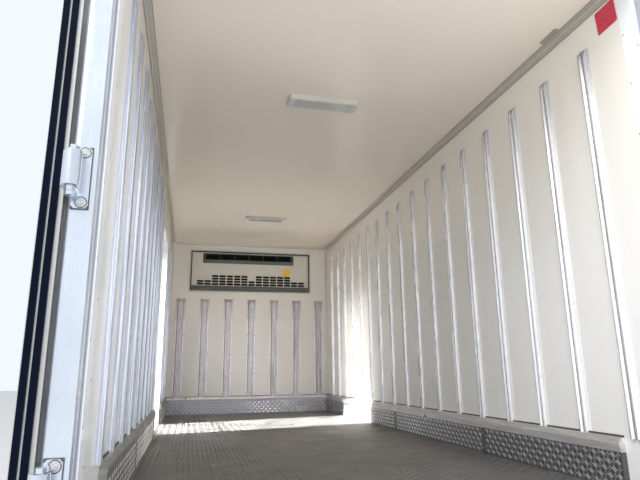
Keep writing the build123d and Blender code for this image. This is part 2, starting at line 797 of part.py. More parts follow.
def door_panel(door):
    """Insulated leaf inside the profile, with the raised plug on its inner face."""
    inset = EDGE_WIDTH
    leaf = block(
        (door.start + inset, door.end - inset), (FACE, FACE + DOOR_EDGE), (door.low + inset, door.high - inset))
    inset = DOOR_PLUG_INSET
    plug = block(
        (door.start + inset, door.end - inset), (FACE + DOOR_EDGE, FACE + DOOR_EDGE + DOOR_PLUG),
        (door.low + inset, door.high - inset))
    plug = fillet(plug.edges().filter_by(Axis.Y), DOOR_PLUG_ROUND)
    return [leaf + plug]


def lip_ring(door, depth, thickness, free_reach):
    """One rubber lip round the edge profile."""
    y = (FACE + depth, FACE + depth + thickness)
    ring = block(
        (door.start - LIP_REACH, door.end + free_reach), y, (door.low - LIP_REACH, door.high + LIP_REACH))
    return ring - block((door.start, door.end), (y[0] - FACE, y[1] + FACE), (door.low, door.high))


def door_gasket(door):
    """Outer and inner lips."""
    pin_reach = door.end + LIP_REACH
    inner_depth = FACE + LIP_INNER_FROM + LIP_INNER
    inner_reach = sqrt(pin_reach ** 2 - inner_depth ** 2) - door.end
    return [
        lip_ring(door, LIP_OUTER_FROM, LIP_OUTER, LIP_REACH),
        lip_ring(door, LIP_INNER_FROM, LIP_INNER, inner_reach)]


def door_straps(door):
    """Barrels with their straps on the outer face."""
    pieces = []
    for height in door.hinges:
        low = height - BARREL_LENGTH / 2
        barrel = rod((0, 0, low), BARREL_R, (0, 0, BARREL_LENGTH))
        root = block((0, BARREL_R), (0, FACE), (low, low + BARREL_LENGTH))
        strap = block((0, STRAP_LENGTH), (FACE - STRAP, FACE), (height - STRAP_HEIGHT / 2, height + STRAP_HEIGHT / 2))
        tip = [edge for edge in strap.edges().filter_by(Axis.Y) if edge.center().X > STRAP_LENGTH / 2]
        strap = chamfer(tip, STRAP_HEIGHT / 3)
        bore = rod((0, 0, low - BARREL_R), HINGE_PIN_R + PIN_FIT, (0, 0, BARREL_LENGTH + 2 * BARREL_R))
        pieces.append(barrel + root + strap - bore)
    return pieces


def door_lock(door):
    """Lock rods with cams, guides and handles on the outer face."""
    pieces = []
    y = FACE - LOCK_ROD_OFF
    reach = FACE - LOCK_REACH
    for x, way in door.locks:
        low = door.low - LOCK_GUIDE
        high = door.high + LOCK_GUIDE
        parts = [rod((x, y, low), LOCK_ROD_R, (0, 0, high - low))]
        middle = (door.low + door.high) / 2
        for z in (door.low + LOCK_GUIDE_HEIGHT, middle, door.high - LOCK_GUIDE_HEIGHT):
            guide = block(
                (x - LOCK_GUIDE, x + LOCK_GUIDE), (y, FACE),
                (z - LOCK_GUIDE_HEIGHT / 2, z + LOCK_GUIDE_HEIGHT / 2))
            parts.append(chamfer(guide.edges().filter_by(Axis.Y), LOCK_ROD_R / 2))
        level = LOCK_HANDLE_HEIGHT + way * LOCK_HANDLE_STEP
        bar = (level - LOCK_BAR_HEIGHT / 2, level + LOCK_BAR_HEIGHT / 2)
        handle = block((x - way * LOCK_HUB / 2, x + way * LOCK_HANDLE), (reach, reach + LOCK_BAR), bar)
        hub = block((x - LOCK_HUB / 2, x + LOCK_HUB / 2), (reach, y), bar)
        tip = x + way * (LOCK_HANDLE - LOCK_GUIDE)
        catch = block((tip, tip - way * LOCK_GUIDE), (reach, FACE), (bar[0] - LOCK_BAR, bar[0]))
        parts.extend([handle, hub, catch])
        pieces.append(fuse(parts))
    return pieces


def fixed_hinge(height):
    """Post half of one hinge round the pin at the origin: plate, two lugs, the pin and its nut."""
    seat = PIN_BACK
    middle = height - PLATE_DROP
    plate = block(
        (-PLATE_IN, PLATE_WIDTH - PLATE_IN), (seat - PLATE, seat),
        (middle - PLATE_HEIGHT / 2, middle + PLATE_HEIGHT / 2))
    plate = chamfer(plate.edges().filter_by(Axis.Y), PLATE)
    parts = [plate]
    gap = BARREL_LENGTH / 2 + KNUCKLE_GAP
    for low in (height + gap, height - gap - LUG_HEIGHT):
        outline = [
            (-PLATE_IN, seat - PLATE / 2, low), (-LUG_R, 0, low), (-LUG_R / 2, -LUG_R, low),
            (LUG_R / 2, -LUG_R, low), (LUG_R, 0, low), (LUG_R, seat - PLATE / 2, low)]
        parts.append(prism(outline, (0, 0, LUG_HEIGHT)))
    parts.append(rod((0, 0, height - gap), HINGE_PIN_R, (0, 0, 2 * gap)))
    nut_top = height - gap - LUG_HEIGHT
    nut = [
        (PIN_NUT_R * cos(radians(turn)), PIN_NUT_R * sin(radians(turn)), nut_top)
        for turn in range(0, 360, 60)]
    parts.append(prism(nut, (0, 0, -PIN_NUT)))
    return fuse(parts)


# Where the doors hang

PIN_X = DOORWAY + PIN_OUT
PIN_Y = REAR - PIN_BACK
SIDE_PIN_X = -OUT - PIN_BACK
SIDE_PIN_Y = SIDE_FRONT + PIN_OUT
SIDE_BASE = DECK + SIDE_SILL

REAR_DOOR = Door(PIN_X - MEET_GAP, HEADER - DECK, HINGE_HEIGHTS, REAR_LOCKS)
SIDE_DOOR = Door(
    PIN_OUT + SIDE_DOOR_WIDTH - DOOR_GAP, SIDE_TOP - SIDE_BASE, SIDE_HINGES, SIDE_LOCKS)


def hung_rear(shapes, side):
    """Rear door pieces on the left post, folded back, or their mirror image on the right."""
    placed = [Pos(-PIN_X, PIN_Y, DECK) * Rot(0, 0, -REAR_OPEN) * shape for shape in shapes]
    return placed if side < 0 else [mirrored(shape) for shape in placed]


def hung_side(shapes):
    """Side door pieces on the front jamb, folded forward."""
    return [Pos(SIDE_PIN_X, SIDE_PIN_Y, SIDE_BASE) * Rot(0, 0, -90 - SIDE_OPEN) * shape for shape in shapes]


def hinge_brackets():
    """Post halves of every hinge, welded to the portal and the side frame."""
    pieces = []
    for height in HINGE_HEIGHTS:
        pieces.extend(both(Pos(-PIN_X, PIN_Y, DECK) * fixed_hinge(height)))
    for height in SIDE_HINGES:
        pieces.append(Pos(SIDE_PIN_X, SIDE_PIN_Y, SIDE_BASE) * Rot(0, 0, -90) * fixed_hinge(height))
    return pieces


def side_frame():
    """Aluminium lining of the side doorway, with a threshold."""
    outer = block(
        (-OUT - RAIL_SHEET, -HALF + COVE_SHEET), (SIDE_REAR - SIDE_FRAME, SIDE_FRONT + SIDE_FRAME),
        (DECK, SIDE_TOP + SIDE_FRAME))
    inner = block((-OUT - WALL, -HALF + WALL), (SIDE_REAR, SIDE_FRONT), (SIDE_BASE, SIDE_TOP))
    return outer - inner


def keepers():
    """Pairs of lugs on the portal that hold the cams of the lock rods."""
    pieces = []
    for reach, way in REAR_LOCKS:
        x = -PIN_X + reach
        near = LOCK_ROD_R + KEEPER_GAP
        far = near + KEEPER_WIDTH
        for low in (HEADER + KEEPER_GAP, DECK - KEEPER_GAP - KEEPER_HEIGHT):
            z = (low, low + KEEPER_HEIGHT)
            for a, b in ((near, far), (-far, -near)):
                pieces.extend(both(block((x + a, x + b), (REAR - KEEPER_DEPTH, REAR), z)))
    return pieces


def door_stays():
    """Brackets on the side walls that stop the folded rear doors."""
    angle = radians(REAR_OPEN - 270)
    outer_face = PIN_X + FACE * cos(angle) - STAY_ALONG * sin(angle)
    y = PIN_Y + STAY_ALONG * cos(angle)
    z = DECK + STAY_HEIGHT + STAY_SIZE / 2
    half = STAY_SIZE / 2
    plate = block((OUT, OUT + STAY_PLATE), (y - half, y + half), (z - half, z + half))
    reach = STAY_ARM / 2
    arm = block((OUT, outer_face - STAY_CLEAR), (y - reach, y + reach), (z - reach, z + reach))
    return both(plate + arm)


# Lamps, buffers and drains

def marker_lamps():
    """Side markers on the base rails and three lamps on the rear header."""
    pieces = []
    z = (FLOOR_BASE + RAIL_SHEET, FLOOR_BASE + RAIL_SHEET + MARKER_HEIGHT)
    skin = OUT + RAIL_SHEET
    for place in MARKER_PLACES:
        y = REAR + place
        lamp = block((skin, skin + MARKER_DEPTH), (y - MARKER_LENGTH / 2, y + MARKER_LENGTH / 2), z)
        face = lamp.faces().sort_by(Axis.X)[-1]
        pieces.extend(both(chamfer(face.edges(), MARKER_DEPTH / 3)))
    z = (TOP - HEADER_MARKER_DROP, TOP - HEADER_MARKER_DROP + MARKER_HEIGHT)
    for x in HEADER_MARKERS:
        lamp = block((x - MARKER_LENGTH / 2, x + MARKER_LENGTH / 2), (REAR - MARKER_DEPTH, REAR), z)
        face = lamp.faces().sort_by(Axis.Y)[0]
        pieces.append(chamfer(face.edges(), MARKER_DEPTH / 3))
    return pieces


def buffers():
    """Rubber blocks on the rear beam."""
    x = OUT - BUFFER_FROM_SIDE
    low = SILL_HEIGHT + DRAIN_FLANGE
    pad = block((x - BUFFER_WIDTH, x), (REAR - BUFFER_DEPTH, REAR), (low, low + BUFFER_HEIGHT))
    back = pad.faces().sort_by(Axis.Y)[0]
    return both(chamfer(back.edges(), BUFFER_DEPTH / 4))


def drain_spouts():
    """Tubes below the floor drains, each with a flange under the floor panel."""
    pieces = []
    for x, y in drain_places():
        tube = rod((x, y, FLOOR_BASE), DRAIN_R + DRAIN_WALL, (0, 0, -DRAIN_DROP))
        half = 2 * DRAIN_R
        flange = block((x - half, x + half), (y - half, y + half), (FLOOR_BASE - DRAIN_FLANGE, FLOOR_BASE))
        bore = rod((x, y, FLOOR_BASE + FIT), DRAIN_R, (0, 0, -2 * DRAIN_DROP))
        pieces.append(tube + flange - bore)
    return pieces


def main():
    os.makedirs("parts", exist_ok=True)
    lamps = (-LAMP_SPREAD / 2, LAMP_SPREAD / 2)
    nodes = {
        "floor_panel": [floor_panel()],
        "floor_tread": [floor_tread()],
        "wall_left": [wall_left()],
        "wall_right": [wall_right()],
        "wall_front": [wall_front()],
        "roof_panel": [roof_panel()],
        "rear_portal": [rear_portal()],
        "outer_rails": outer_rails(),
        "sills": both(sill()),
        "crossmembers": crossmembers(),
        "chassis_brackets": brackets(),
        "ribs_left": ribs_left(),
        "ribs_right": ribs_right(),
        "ribs_front": ribs_front(),
        "kick_left": kick_left(),
        "kick_right": [kick_right()],
        "kick_front": [kick_front()],
        "inner_trims": inner_trims(),
        "jamb_trims": jamb_trims(),
        "lamp_housings": [lamp_housing(y) for y in lamps],
        "lamp_lenses": [lamp_lens(y) for y in lamps],
        "ceiling_probe": [probe()],
        "evaporator_frame": [evaporator_frame()],
        "evaporator_panel": [evaporator_panel()],
        "outlet_vanes": [outlet_vanes()],
        "refrigeration_unit": [refrigeration_unit()],
        "unit_grille": [unit_grille()],
        "hinge_brackets": hinge_brackets(),
        "lock_keepers": keepers(),
        "door_stays": door_stays(),
        "side_frame": [side_frame()],
        "marker_lamps": marker_lamps(),
        "buffers": buffers(),
        "drain_spouts": drain_spouts(),
    }
    makers = {
        "edge": door_edge, "panel": door_panel, "gasket": door_gasket,
        "straps": door_straps, "lock": door_lock}
    for name, make in makers.items():
        nodes["rear_left_" + name] = hung_rear(make(REAR_DOOR), -1)
        nodes["rear_right_" + name] = hung_rear(make(REAR_DOOR), 1)
        nodes["side_door_" + name] = hung_side(make(SIDE_DOOR))
    for node, shapes in nodes.items():
        write(node, shapes)


main()
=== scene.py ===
"""Finishes and small pieces of the refrigerated truck body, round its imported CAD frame."""
import json
from math import cos, pi, radians, sin

import bmesh
import bpy
from mathutils import Matrix, Vector

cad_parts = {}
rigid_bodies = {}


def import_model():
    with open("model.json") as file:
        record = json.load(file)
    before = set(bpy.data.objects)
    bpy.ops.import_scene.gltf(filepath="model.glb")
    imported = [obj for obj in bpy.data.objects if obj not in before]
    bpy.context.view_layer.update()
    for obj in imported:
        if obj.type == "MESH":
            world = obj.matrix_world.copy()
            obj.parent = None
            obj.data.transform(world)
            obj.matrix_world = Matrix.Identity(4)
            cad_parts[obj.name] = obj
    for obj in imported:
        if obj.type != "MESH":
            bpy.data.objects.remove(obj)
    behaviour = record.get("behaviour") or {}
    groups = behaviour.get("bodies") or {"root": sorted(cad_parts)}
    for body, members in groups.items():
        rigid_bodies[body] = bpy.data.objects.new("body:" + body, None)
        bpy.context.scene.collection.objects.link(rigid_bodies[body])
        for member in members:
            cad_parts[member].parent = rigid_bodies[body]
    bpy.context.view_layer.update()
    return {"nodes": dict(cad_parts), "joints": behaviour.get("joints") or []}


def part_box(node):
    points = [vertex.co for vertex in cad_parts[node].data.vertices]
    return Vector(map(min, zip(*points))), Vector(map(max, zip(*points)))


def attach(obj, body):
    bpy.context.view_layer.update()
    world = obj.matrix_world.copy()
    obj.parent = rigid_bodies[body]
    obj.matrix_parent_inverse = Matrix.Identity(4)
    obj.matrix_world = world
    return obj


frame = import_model()
NODES = frame["nodes"]

# Main planes of the body, read from its CAD nodes
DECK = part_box("floor_tread")[1].z
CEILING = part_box("wall_right")[1].z
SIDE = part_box("wall_right")[0].x
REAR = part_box("sills")[0].y
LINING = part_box("wall_right")[0].y
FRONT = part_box("wall_front")[0].y
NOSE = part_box("wall_front")[1].y
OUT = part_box("wall_right")[1].x
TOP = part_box("roof_panel")[1].z
FLOOR_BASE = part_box("floor_panel")[0].z
DOORWAY = SIDE + 0.005
SIDE_DOOR_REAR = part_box("side_frame")[0].y + 0.005
SIDE_DOOR_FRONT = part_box("side_frame")[1].y - 0.005
EVAPORATOR_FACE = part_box("evaporator_panel")[0].y


# Working on pieces as by hand

def select_none():
    bpy.ops.object.select_all(action="DESELECT")


def take(pieces):
    """Only these pieces are selected, the first one active."""
    select_none()
    for piece in pieces:
        piece.select_set(True)
    bpy.context.view_layer.objects.active = pieces[0]


def set_down(piece):
    """Puts the place, turn and size of a piece into its mesh."""
    take([piece])
    bpy.ops.object.transform_apply(location=True, rotation=True, scale=True)


def lay(piece, matrix):
    """Moves a piece by a matrix."""
    piece.matrix_world = matrix
    set_down(piece)
    return piece


def block(name, low, high):
    """A block between two corners."""
    select_none()
    low = Vector(low)
    high = Vector(high)
    bpy.ops.mesh.primitive_cube_add(size=1.0, location=(low + high) / 2)
    piece = bpy.context.object
    piece.name = name
    piece.scale = high - low
    set_down(piece)
    return piece


def disc(sides, radius, depth, centre, turn=(0, 0, 0)):
    """A round or many-sided disc, flat on Z unless turned."""
    select_none()
    bpy.ops.mesh.primitive_cylinder_add(
        vertices=sides, radius=radius, depth=depth, location=centre, rotation=turn)
    piece = bpy.context.object
    set_down(piece)
    return piece


def pick(piece, test, kind="FACE"):
    """Edit mode with only those faces or edges selected whose middle passes the test."""
    take([piece])
    bpy.ops.object.mode_set(mode="EDIT")
    bpy.ops.mesh.select_mode(type=kind)
    bpy.ops.mesh.select_all(action="DESELECT")
    mesh = bmesh.from_edit_mesh(piece.data)
    if kind == "FACE":
        for face in mesh.faces:
            face.select_set(bool(test(face.calc_center_median(), face.normal)))
    else:
        for edge in mesh.edges:
            a, b = edge.verts[0].co, edge.verts[1].co
            edge.select_set(bool(test((a + b) / 2, (b - a).normalized())))
    bmesh.update_edit_mesh(piece.data)


def pick_all(piece):
    """Edit mode with the whole piece selected."""
    take([piece])
    bpy.ops.object.mode_set(mode="EDIT")
    bpy.ops.mesh.select_all(action="SELECT")


def put_away():
    bpy.ops.object.mode_set(mode="OBJECT")


def modify(piece, kind, **settings):
    """Applies one modifier with these settings."""
    take([piece])
    modifier = piece.modifiers.new(kind.lower(), kind)
    for setting, value in settings.items():
        setattr(modifier, setting, value)
    bpy.ops.object.modifier_apply(modifier=modifier.name)


def round_edges(piece, width, segments=2):
    """Rounds the sharp edges of a piece."""
    modify(piece, "BEVEL", width=width, segments=segments, limit_method="ANGLE", angle_limit=radians(30))
    bpy.ops.object.shade_smooth_by_angle(angle=radians(40))


def repeat(piece, step, count):
    """Repeats a piece along a step."""
    modify(
        piece, "ARRAY", use_relative_offset=False, use_constant_offset=True,
        constant_offset_displace=step, count=count)


def copy_to(piece, place, turn=None):
    """A copy with its own mesh at another place."""
    twin = piece.copy()
    twin.data = piece.data.copy()
    bpy.context.scene.collection.objects.link(twin)
    twin.location = place
    if turn is not None:
        twin.rotation_euler = turn
    return twin


def mirrored_copy(piece, name):
    """The same piece on the other side of the body."""
    twin = copy_to(piece, (0, 0, 0))
    twin.scale.x = -1
    set_down(twin)
    pick_all(twin)
    bpy.ops.mesh.normals_make_consistent(inside=False)
    put_away()
    twin.name = name
    return twin


def joined(name, pieces):
    """One piece of several, with its place in its mesh."""
    take(pieces)
    if len(pieces) > 1:
        bpy.ops.object.join()
    whole = bpy.context.object
    whole.name = name
    set_down(whole)
    return whole


def dress(piece, material, body="cargo_body"):
    """Gives a finished piece its material and body."""
    piece.data.materials.clear()
    piece.data.materials.append(material)
    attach(piece, body)


TURNS = {
    "+X": (0, pi / 2, 0), "-X": (0, -pi / 2, 0),
    "+Y": (-pi / 2, 0, 0), "-Y": (pi / 2, 0, 0),
    "+Z": (0, 0, 0), "-Z": (pi, 0, 0)}


def rivet(radius, height):
    """Domed head on the plane Z = 0, about the Z axis."""
    select_none()
    bpy.ops.mesh.primitive_uv_sphere_add(segments=10, ring_count=6, radius=1.0, location=(0, 0, 0))
    head = bpy.context.object
    head.scale = (radius, radius, height)
    set_down(head)
    pick_all(head)
    bpy.ops.mesh.bisect(plane_co=(0, 0, 0), plane_no=(0, 0, 1), clear_inner=True, use_fill=True)
    put_away()
    bpy.ops.object.shade_smooth_by_angle(angle=radians(50))
    return head


def bolt(radius, height, washer=1.5):
    """Six-sided head on a washer, on the plane Z = 0."""
    head = disc(6, radius, height, (0, 0, height * 0.7))
    round_edges(head, radius * 0.12, 1)
    ring = disc(20, radius * washer, height * 0.25, (0, 0, height * 0.125))
    round_edges(ring, height * 0.06, 1)
    return joined("bolt", [head, ring])


def copies(name, model, places):
    """One piece made of copies of a small model at (place, facing) pairs."""
    twins = [copy_to(model, place, TURNS[facing]) for place, facing in places]
    bpy.data.objects.remove(model)
    return joined(name, twins)


def scatter(name, model, places, material):
    """Copies of one small piece on the body."""
    dress(copies(name, model, places), material)


# Materials

EDGE = 0.0006
GRAIN = 0.0006


class Finish:
    """A node material being mixed."""

    def __init__(self, name, colour, roughness, metallic=0.0):
        self.material = bpy.data.materials.new(name)
        self.material.use_nodes = True
        self.tree = self.material.node_tree
        self.shader = self.tree.nodes["Principled BSDF"]
        self.set("Base Color", (*colour, 1.0))
        self.set("Roughness", roughness)
        self.set("Metallic", metallic)

    def set(self, socket, value):
        """Sets a socket of the shader, or links to it."""
        self.feed(self.shader, socket, value)

    def feed(self, node, socket, value):
        if isinstance(value, bpy.types.NodeSocket):
            self.tree.links.new(value, node.inputs[socket])
        else:
            node.inputs[socket].default_value = value

    def add(self, kind, out=0, **inputs):
        """A node with its inputs fed, and one of its outputs."""
        node = self.tree.nodes.new(kind)
        for socket, value in inputs.items():
            self.feed(node, socket.replace("_", " "), value)
        return node.outputs[out]

    def place(self, scale=(1, 1, 1)):
        """Object coordinates, stretched."""
        here = self.add("ShaderNodeTexCoord", "Object")
        return self.add("ShaderNodeMapping", 0, Vector=here, Scale=scale)

    def along(self, axis):
        """One Object coordinate."""
        here = self.add("ShaderNodeTexCoord", "Object")
        return self.add("ShaderNodeSeparateXYZ", axis, Vector=here)

    def noise(self, vector, scale, detail=3.0, rough=0.5):
        return self.add(
            "ShaderNodeTexNoise", "Fac", Vector=vector, Scale=scale, Detail=detail, Roughness=rough)

    def maths(self, operation, a, b=0.0, c=0.0):
        node = self.tree.nodes.new("ShaderNodeMath")
        node.operation = operation
        for i, value in enumerate((a, b, c)):
            self.feed(node, i, value)
        return node.outputs[0]

    def spread(self, value, low, high, to_low=0.0, to_high=1.0):
        """Maps a range to another one, held at its ends."""
        node = self.tree.nodes.new("ShaderNodeMapRange")
        for i, part in enumerate((value, low, high, to_low, to_high)):
            self.feed(node, i, part)
        return node.outputs[0]

    def tint(self, share, a, b):
        """Colour between a and b."""
        node = self.tree.nodes.new("ShaderNodeMix")
        node.data_type = "RGBA"
        self.feed(node, 0, share)
        for i, colour in ((6, a), (7, b)):
            self.feed(node, i, colour if isinstance(colour, bpy.types.NodeSocket) else (*colour, 1.0))
        return node.outputs[2]

    def over(self, skin, mask, share, colour):
        """The skin with a colour over it, by a share of a mask."""
        return self.tint(self.maths("MULTIPLY", mask, share), skin, colour)

    def bump(self, height, strength, distance, under=None):
        """Raises the surface by a pattern, over another bump if one is given."""
        node = self.tree.nodes.new("ShaderNodeBump")
        self.feed(node, "Height", height)
        node.inputs["Strength"].default_value = strength
        node.inputs["Distance"].default_value = distance
        if under is not None:
            self.feed(node, "Normal", under)
        return node.outputs[0]


def shade(colour, factor):
    return tuple(part * factor for part in colour)


CREAM = (0.87, 0.83, 0.76)
WHITE = (0.82, 0.83, 0.83)
RIB_SHADE = (0.20, 0.19, 0.21)
DUST = (0.42, 0.40, 0.36)
# Near black that stands for the shade behind the evaporator's openings
COIL_SHADE = (0.006, 0.008, 0.006)
# Heights between which the lining's painted light tint changes
PAINTED_TINT_HEIGHTS = (1.25, 2.1)
# Places along the floor over which the painted shade lines of the tread come in
SHADE_LINE_FADE = (0.1, 0.6)
# Length at the top of a rib over which it turns darker
DARK_TOP = 0.30
TILE = 0.055
# Height above which the kick caps carry a painted highlight
KICK_CAP = DECK + 0.143


def panel_finish(name, colour, roughness, outside=None, painted_low_tint=None):
    """Glossy panel skin with faint clouds, orange peel and scuffs.

    outside is the axis and the place past which its other face is white, and the colour towards the
    floor, if given, is painted light, a tint by height for how the light falls on the panel."""
    f = Finish(name, colour, roughness)
    clouds = f.noise(f.place((0.9, 0.5, 0.9)), 1.3)
    skin = f.tint(clouds, shade(colour, 0.985), shade(colour, 1.01))
    # Painted light: the tint changes with height as the light falls on the wall.
    if painted_low_tint is not None:
        skin = f.tint(f.spread(f.along("Z"), *PAINTED_TINT_HEIGHTS), painted_low_tint, skin)
    scuffs = f.spread(f.noise(f.place((3.0, 0.7, 42.0)), 2.2, 4.0, 0.65), 0.66, 0.74)
    skin = f.over(skin, scuffs, 0.05, shade(colour, 0.72))
    if outside is not None:
        axis, limit = outside
        beyond = f.maths("GREATER_THAN", f.maths("ABSOLUTE", f.along(axis)), limit)
        skin = f.tint(beyond, skin, WHITE)
    f.set("Base Color", skin)
    worn = f.noise(f.place(), 5.0, 4.0, 0.6)
    f.set("Roughness", f.spread(worn, 0.3, 0.75, roughness * 0.85, roughness * 1.25))
    peel = f.noise(f.place(), 160.0, 2.0)
    waves = f.noise(f.place((1.0, 1.0, 0.6)), 3.2, 2.0)
    f.set("Normal", f.bump(peel, 0.06, 0.0008, f.bump(waves, 0.10, 0.006)))
    return f.material


def metal_finish(
        name, colour, roughness, grain=(1, 1, 1), marks=0.3, dirt=None, bare=1.0, rim=None, lines=None):
    """Metal with a brushed grain, clouds in its gloss, a few specks and, if asked, patches of dirt.

    marks is the strength of specks and dirt, bare the share of it that shines as metal, rim the
    height and colour of a painted highlight along a cap, and lines the pitch and half width of
    painted shade lines between raised bars, faded out towards the doorway."""
    f = Finish(name, colour, roughness, bare)
    brushed = f.noise(f.place(grain), 6.0, 3.0, 0.6)
    clouds = f.noise(f.place(), 2.7, 4.0, 0.6)
    skin = f.tint(clouds, shade(colour, 0.90), shade(colour, 1.05))
    specks = f.spread(f.noise(f.place(), 70.0, 3.0, 0.7), 0.63, 0.70)
    skin = f.over(skin, specks, marks, shade(colour, 0.35))
    if dirt is not None:
        patches = f.spread(f.noise(f.place(), 1.9, 5.0, 0.7), 0.42, 0.72)
        skin = f.over(skin, patches, marks, dirt)
    # Painted shade: dark lines between the rows of raised bars, strong where the side door's light falls
    # and faded out towards the doorway.
    if lines is not None:
        pitch, half = lines
        shade_line = f.spread(f.maths("PINGPONG", f.along("X"), pitch / 2), half * 0.6, half, 1.0, 0.0)
        shade_share = f.spread(f.along("Y"), *SHADE_LINE_FADE, 0.20, 0.9)
        skin = f.over(skin, shade_line, shade_share, shade(colour, 0.15))
    # Painted highlight: a lighter streaky band above a height, as on a cap that catches the light.
    if rim is not None:
        height, highlight_colour = rim
        streaks = f.noise(f.place((30, 2.5, 30)), 2.0, 4.0, 0.7)
        light = f.tint(f.spread(streaks, 0.35, 0.65), shade(highlight_colour, 0.72), highlight_colour)
        skin = f.tint(f.spread(f.along("Z"), height - EDGE, height), skin, light)
    f.set("Base Color", skin)
    worn = f.maths("ADD", brushed, clouds)
    f.set("Roughness", f.spread(worn, 0.7, 1.3, roughness * 0.7, roughness * 1.4))
    f.set("Normal", f.bump(brushed, 0.05, GRAIN))
    return f.material


def kick_finish(name, colour, dirt, cap_highlight_colour, lift=0.0):
    """Kick plate in dull aluminium, with a painted highlight on its cap above a height."""
    rim = (KICK_CAP + lift, cap_highlight_colour)
    return metal_finish(name, colour, 0.38, marks=0.5, dirt=dirt, bare=0.6, rim=rim)


def moulded_finish(name, colour, roughness, dust=0.0, gloss=0.5, inside=None):
    """Moulded or painted surface with a fine grain and, if asked, dust in patches.

    inside is the place along the body past which its openings are painted near black as shade."""
    f = Finish(name, colour, roughness)
    f.set("Specular IOR Level", gloss)
    clouds = f.noise(f.place(), 3.0, 4.0, 0.6)
    skin = f.tint(clouds, shade(colour, 0.88), shade(colour, 1.08))
    if dust:
        patches = f.spread(f.noise(f.place(), 4.5, 5.0, 0.7), 0.45, 0.75)
        skin = f.over(skin, patches, dust, DUST)
    if inside is not None:
        # Painted shade past the evaporator's face.
        skin = f.tint(f.spread(f.along("Y"), inside, inside + EDGE), skin, COIL_SHADE)
    f.set("Base Color", skin)
    f.set("Roughness", f.spread(clouds, 0.3, 0.7, roughness * 0.8, roughness * 1.25))
    f.set("Normal", f.bump(f.noise(f.place(), 220.0, 2.0), 0.12, GRAIN))
    return f.material


def unit_finish():
    """White case with painted shade: near black inside the evaporator, and a finned coil painted near black
    behind the grille.
    """
    f = Finish("unit_case", WHITE, 0.35)
    clouds = f.noise(f.place(), 2.4, 4.0)
    skin = f.tint(clouds, shade(WHITE, 0.93), shade(WHITE, 1.03))
    y = f.along("Y")
    # Painted shade: the case inside the body is near black.
    skin = f.tint(f.maths("LESS_THAN", y, NOSE + 0.002), skin, (0.015, 0.017, 0.018))
    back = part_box("unit_grille")[0].y
    after = f.maths("GREATER_THAN", y, back - 0.002)
    before = f.maths("LESS_THAN", y, back + 0.002)
    # A finned coil painted near black behind the grille, standing for shade.
    fins = f.maths("PINGPONG", f.along("X"), 0.0025)
    coil = f.tint(f.spread(fins, 0.0004, 0.0018), (0.004, 0.004, 0.005), (0.055, 0.057, 0.060))
    skin = f.tint(f.maths("MULTIPLY", after, before), skin, coil)
    f.set("Base Color", skin)
    f.set("Roughness", f.spread(clouds, 0.3, 0.7, 0.28, 0.45))
    f.set("Normal", f.bump(f.noise(f.place(), 240.0, 2.0), 0.15, GRAIN))
    return f.material


def rib_finish(
        name, colour, foot_colour_and_highlight, top_colour, row, bands,
        shine=0.55, streak=0.93, fine=30, specks=0.35, speck_scale=95):
    """Drawn strip, plain on its feet and darker towards its top end, with painted shade along its creases
    and edges.
    """
    across, middle, pitch, web, top = row
    f = Finish(name, colour, 0.24, 0.6)
    clouds = f.noise(f.place((fine, fine, 1.2)), 2.0, 3.0, 0.6)
    skin = f.tint(f.spread(clouds, 0.3, 0.7), shade(colour, streak), shade(colour, 1.04))
    speck = f.spread(f.noise(f.place(), speck_scale, 3.0, 0.75), 0.58, 0.66)
    skin = f.over(skin, speck, specks, shade(colour, 0.40))
    off = f.maths("WRAP", f.maths("SUBTRACT", f.along(across), middle), pitch / 2, -pitch / 2)
    foot = f.spread(f.maths("ABSOLUTE", off), web, web + EDGE)
    skin = f.tint(foot, skin, foot_colour_and_highlight)
    skin = f.tint(f.spread(f.along("Z"), top - DARK_TOP, top), skin, top_colour)
    # Painted shade in the creases and behind the edges of each rib.
    for low, high, soft, share in bands:
        start = f.spread(off, low - soft, low)
        end = f.spread(off, high, high + soft, 1.0, 0.0)
        skin = f.over(skin, f.maths("MULTIPLY", start, end), share, RIB_SHADE)
    f.set("Base Color", skin)
    f.set("Metallic", f.spread(foot, 0.0, 1.0, shine, 0.1))
    f.set("Roughness", f.spread(clouds, 0.3, 0.7, 0.20, 0.34))
    f.set("Normal", f.bump(clouds, 0.05, GRAIN))
    return f.material


def trim_finish(name, colour, leg):
    """Thin angle strip, with a painted highlight along its fold and dark along the rim of its legs."""
    f = Finish(name, colour, 0.35, 0.4)
    grain = f.noise(f.place((40, 1.5, 40)), 3.0, 3.0, 0.6)
    skin = f.tint(grain, shade(colour, 0.88), shade(colour, 1.06))
    x = f.maths("SUBTRACT", SIDE, f.maths("ABSOLUTE", f.along("X")))
    y = f.maths("SUBTRACT", FRONT, f.along("Y"))
    z = f.maths("SUBTRACT", CEILING, f.along("Z"))
    nearer = f.maths("MINIMUM", x, y)
    further = f.maths("MAXIMUM", x, y)
    out = f.maths("MAXIMUM", nearer, f.maths("MINIMUM", further, z))
    # Painted highlight along the fold.
    skin = f.tint(f.spread(out, 0.004, 0.010), shade(colour, 1.30), skin)
    skin = f.over(skin, f.spread(out, leg - 0.0035, leg - 0.0020), 0.75, shade(colour, 0.30))
    f.set("Base Color", skin)
    f.set("Roughness", f.spread(grain, 0.3, 0.7, 0.28, 0.45))
    f.set("Normal", f.bump(grain, 0.05, GRAIN))
    return f.material


